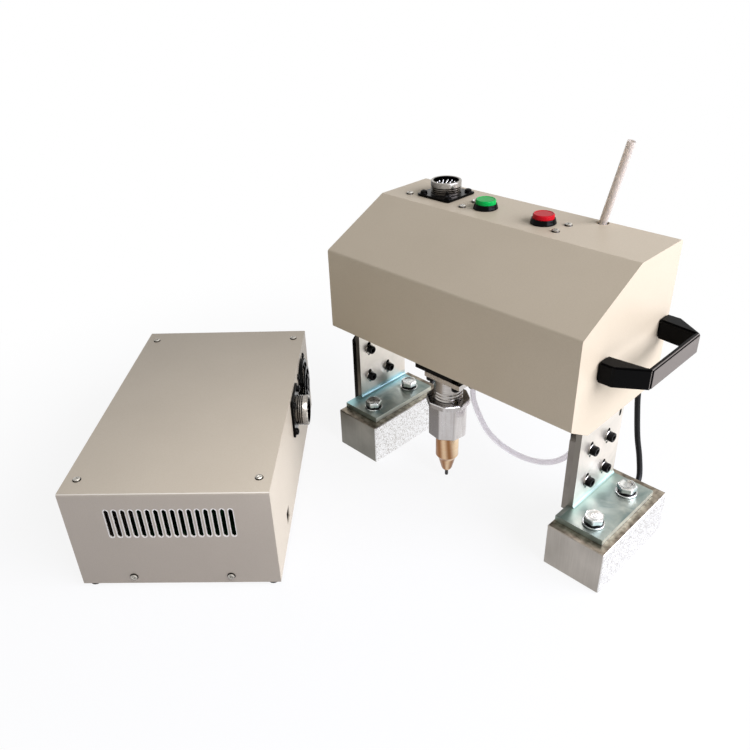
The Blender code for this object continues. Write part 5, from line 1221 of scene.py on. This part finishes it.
# %% Lights and background
FILL = 0.27
HEAD_LAMP = {"towards": (0.86, 0.20, 0.50), "strength": 1.90, "distance": 2.6, "wide": 3.0, "high": 1.6,
             "tint": (0.95, 0.98, 1.18)}
CASE_LAMP = {"towards": 0.48 * CASE_ALONG - 0.25 * CASE_DEEP + 0.85 * UP, "strength": 1.05,
             "distance": 0.50, "wide": 0.34, "high": 0.34, "tint": (1.0, 1.0, 1.0)}
SIDE_LAMP = {"towards": 0.99 * CASE_ALONG + 0.02 * UP, "strength": 0.55, "distance": 0.32,
             "wide": 0.20, "high": 0.16, "tint": (1.0, 0.99, 0.99)}
CONTROLLER_STEMS = ("case_", "fan_", "power_supply", "driver_board")

world = bpy.data.worlds.new("pale_room")
world.use_nodes = True
bpy.context.scene.world = world


def seen_rays(tree):
    """1 for rays from the camera, from a mirror-like surface or through a clear one, else 0."""
    rays = add(tree, "LightPath")
    seen = add(tree, "Math", {0: rays.outputs["Is Camera Ray"], 1: rays.outputs["Is Glossy Ray"]},
               operation="MAXIMUM")
    seen = add(tree, "Math", {0: seen.outputs[0], 1: rays.outputs["Is Transmission Ray"]},
               operation="MAXIMUM")
    return seen.outputs[0]


def window_lamp(name, middle, towards, strength, distance, wide, high, tint):
    """A soft rectangular lamp that stands at a distance and shines back on the middle."""
    towards = np.array(towards) / np.linalg.norm(towards)
    lamp = bpy.data.objects.new(name, bpy.data.lights.new(name, "AREA"))
    bpy.context.scene.collection.objects.link(lamp)
    lamp.data.shape = "RECTANGLE"
    lamp.data.size = wide
    lamp.data.size_y = high
    lamp.data.energy = strength * math.pi ** 2 * distance ** 2
    lamp.data.color = tint
    lamp.location = (middle + towards * distance).tolist()
    lamp.rotation_euler = Vector(towards.tolist()).to_track_quat("Z", "Y").to_euler()
    print(name, round(lamp.data.energy), "W at", np.array(lamp.location).round(2))
    return lamp


def light_group(name, pieces, state):
    """A group of pieces for a lamp's light or shadow, all let in or all left out."""
    group = bpy.data.collections.new(name)
    for piece in pieces:
        group.objects.link(piece)
    for member in group.collection_objects:
        member.light_linking.link_state = state
    return group


tree = world.node_tree
fill = add(tree, "Background", {"Color": linear("#FFFFFF"), "Strength": FILL})
white = add(tree, "Background", {"Color": linear("#FFFFFF"), "Strength": 1.0})
room = add(tree, "MixShader", {0: seen_rays(tree), 1: fill.outputs[0], 2: white.outputs[0]})
tree.links.new(room.outputs[0], tree.nodes["World Output"].inputs["Surface"])

controller = [piece for piece in bpy.data.objects if piece.name.startswith(CONTROLLER_STEMS)]
head_lamp = window_lamp("window_on_head", on_head(155, 60, 180), **HEAD_LAMP)
head_lamp.light_linking.receiver_collection = light_group("not_lit_by_head_lamp", controller, "EXCLUDE")
case_lamp = window_lamp("lamp_on_controller", on_case(96, 30, 115), **CASE_LAMP)
side_lamp = window_lamp("window_on_controller", on_case(96, 40, 40), **SIDE_LAMP)
for lamp in (case_lamp, side_lamp):
    lamp.light_linking.receiver_collection = light_group("lit_by_" + lamp.name, controller, "INCLUDE")
    lamp.light_linking.blocker_collection = light_group("shading_" + lamp.name, controller, "INCLUDE")
print("controller pieces:", len(controller))

# %% [markdown]
# The floor is a plain pale plane just under the feet. Its own colour takes the soft shadow,
# and for the same rays as above it fades into plain white away from the object, by the distance
# from the middle of the floor, so that the picture has the white background of the photograph.

# %% The floor
FLOOR_HALF = 8.0
FLOOR_DROP = 0.15 * MM
FADE_START = 0.25
FADE_END = 0.70
NEAR_SHARE = 0.88

floor_finish = bpy.data.materials.new("pale_floor")
floor_finish.use_nodes = True
tree = floor_finish.node_tree
shader = tree.nodes["Principled BSDF"]
shader.inputs["Base Color"].default_value = linear("#F2F1F0")
shader.inputs["Roughness"].default_value = 0.9
shader.inputs["Specular IOR Level"].default_value = 0.1
place = add(tree, "TexCoord")
far = add(tree, "VectorMath", {0: place.outputs["Object"]}, operation="LENGTH")
fade = add(tree, "MapRange", {"Value": far.outputs["Value"], "From Min": FADE_START, "From Max": FADE_END,
                              "To Min": NEAR_SHARE}, interpolation_type="SMOOTHSTEP")
fade = add(tree, "Math", {0: fade.outputs[0], 1: seen_rays(tree)}, operation="MULTIPLY")
glow = add(tree, "Emission", {"Color": linear("#FFFFFF"), "Strength": 1.0})
mixed = add(tree, "MixShader", {0: fade.outputs[0], 1: shader.outputs[0], 2: glow.outputs[0]})
tree.links.new(mixed.outputs[0], tree.nodes["Material Output"].inputs["Surface"])

floor_mesh = bpy.data.meshes.new("floor")
floor_corners = [(a * FLOOR_HALF, b * FLOOR_HALF, -FLOOR_DROP)
                 for a, b in ((-1, -1), (1, -1), (1, 1), (-1, 1))]
floor_mesh.from_pydata(floor_corners, [], [(0, 1, 2, 3)])
floor_mesh.materials.append(floor_finish)
floor = bpy.data.objects.new("floor", floor_mesh)
bpy.context.scene.collection.objects.link(floor)
print("floor", 2 * FLOOR_HALF, "m wide,", round(FLOOR_DROP / MM, 2), "mm below the feet")

# %% [markdown]
# Standard shows each colour as it was written.

# %% Finish
bpy.context.scene.view_settings.view_transform = "Standard"
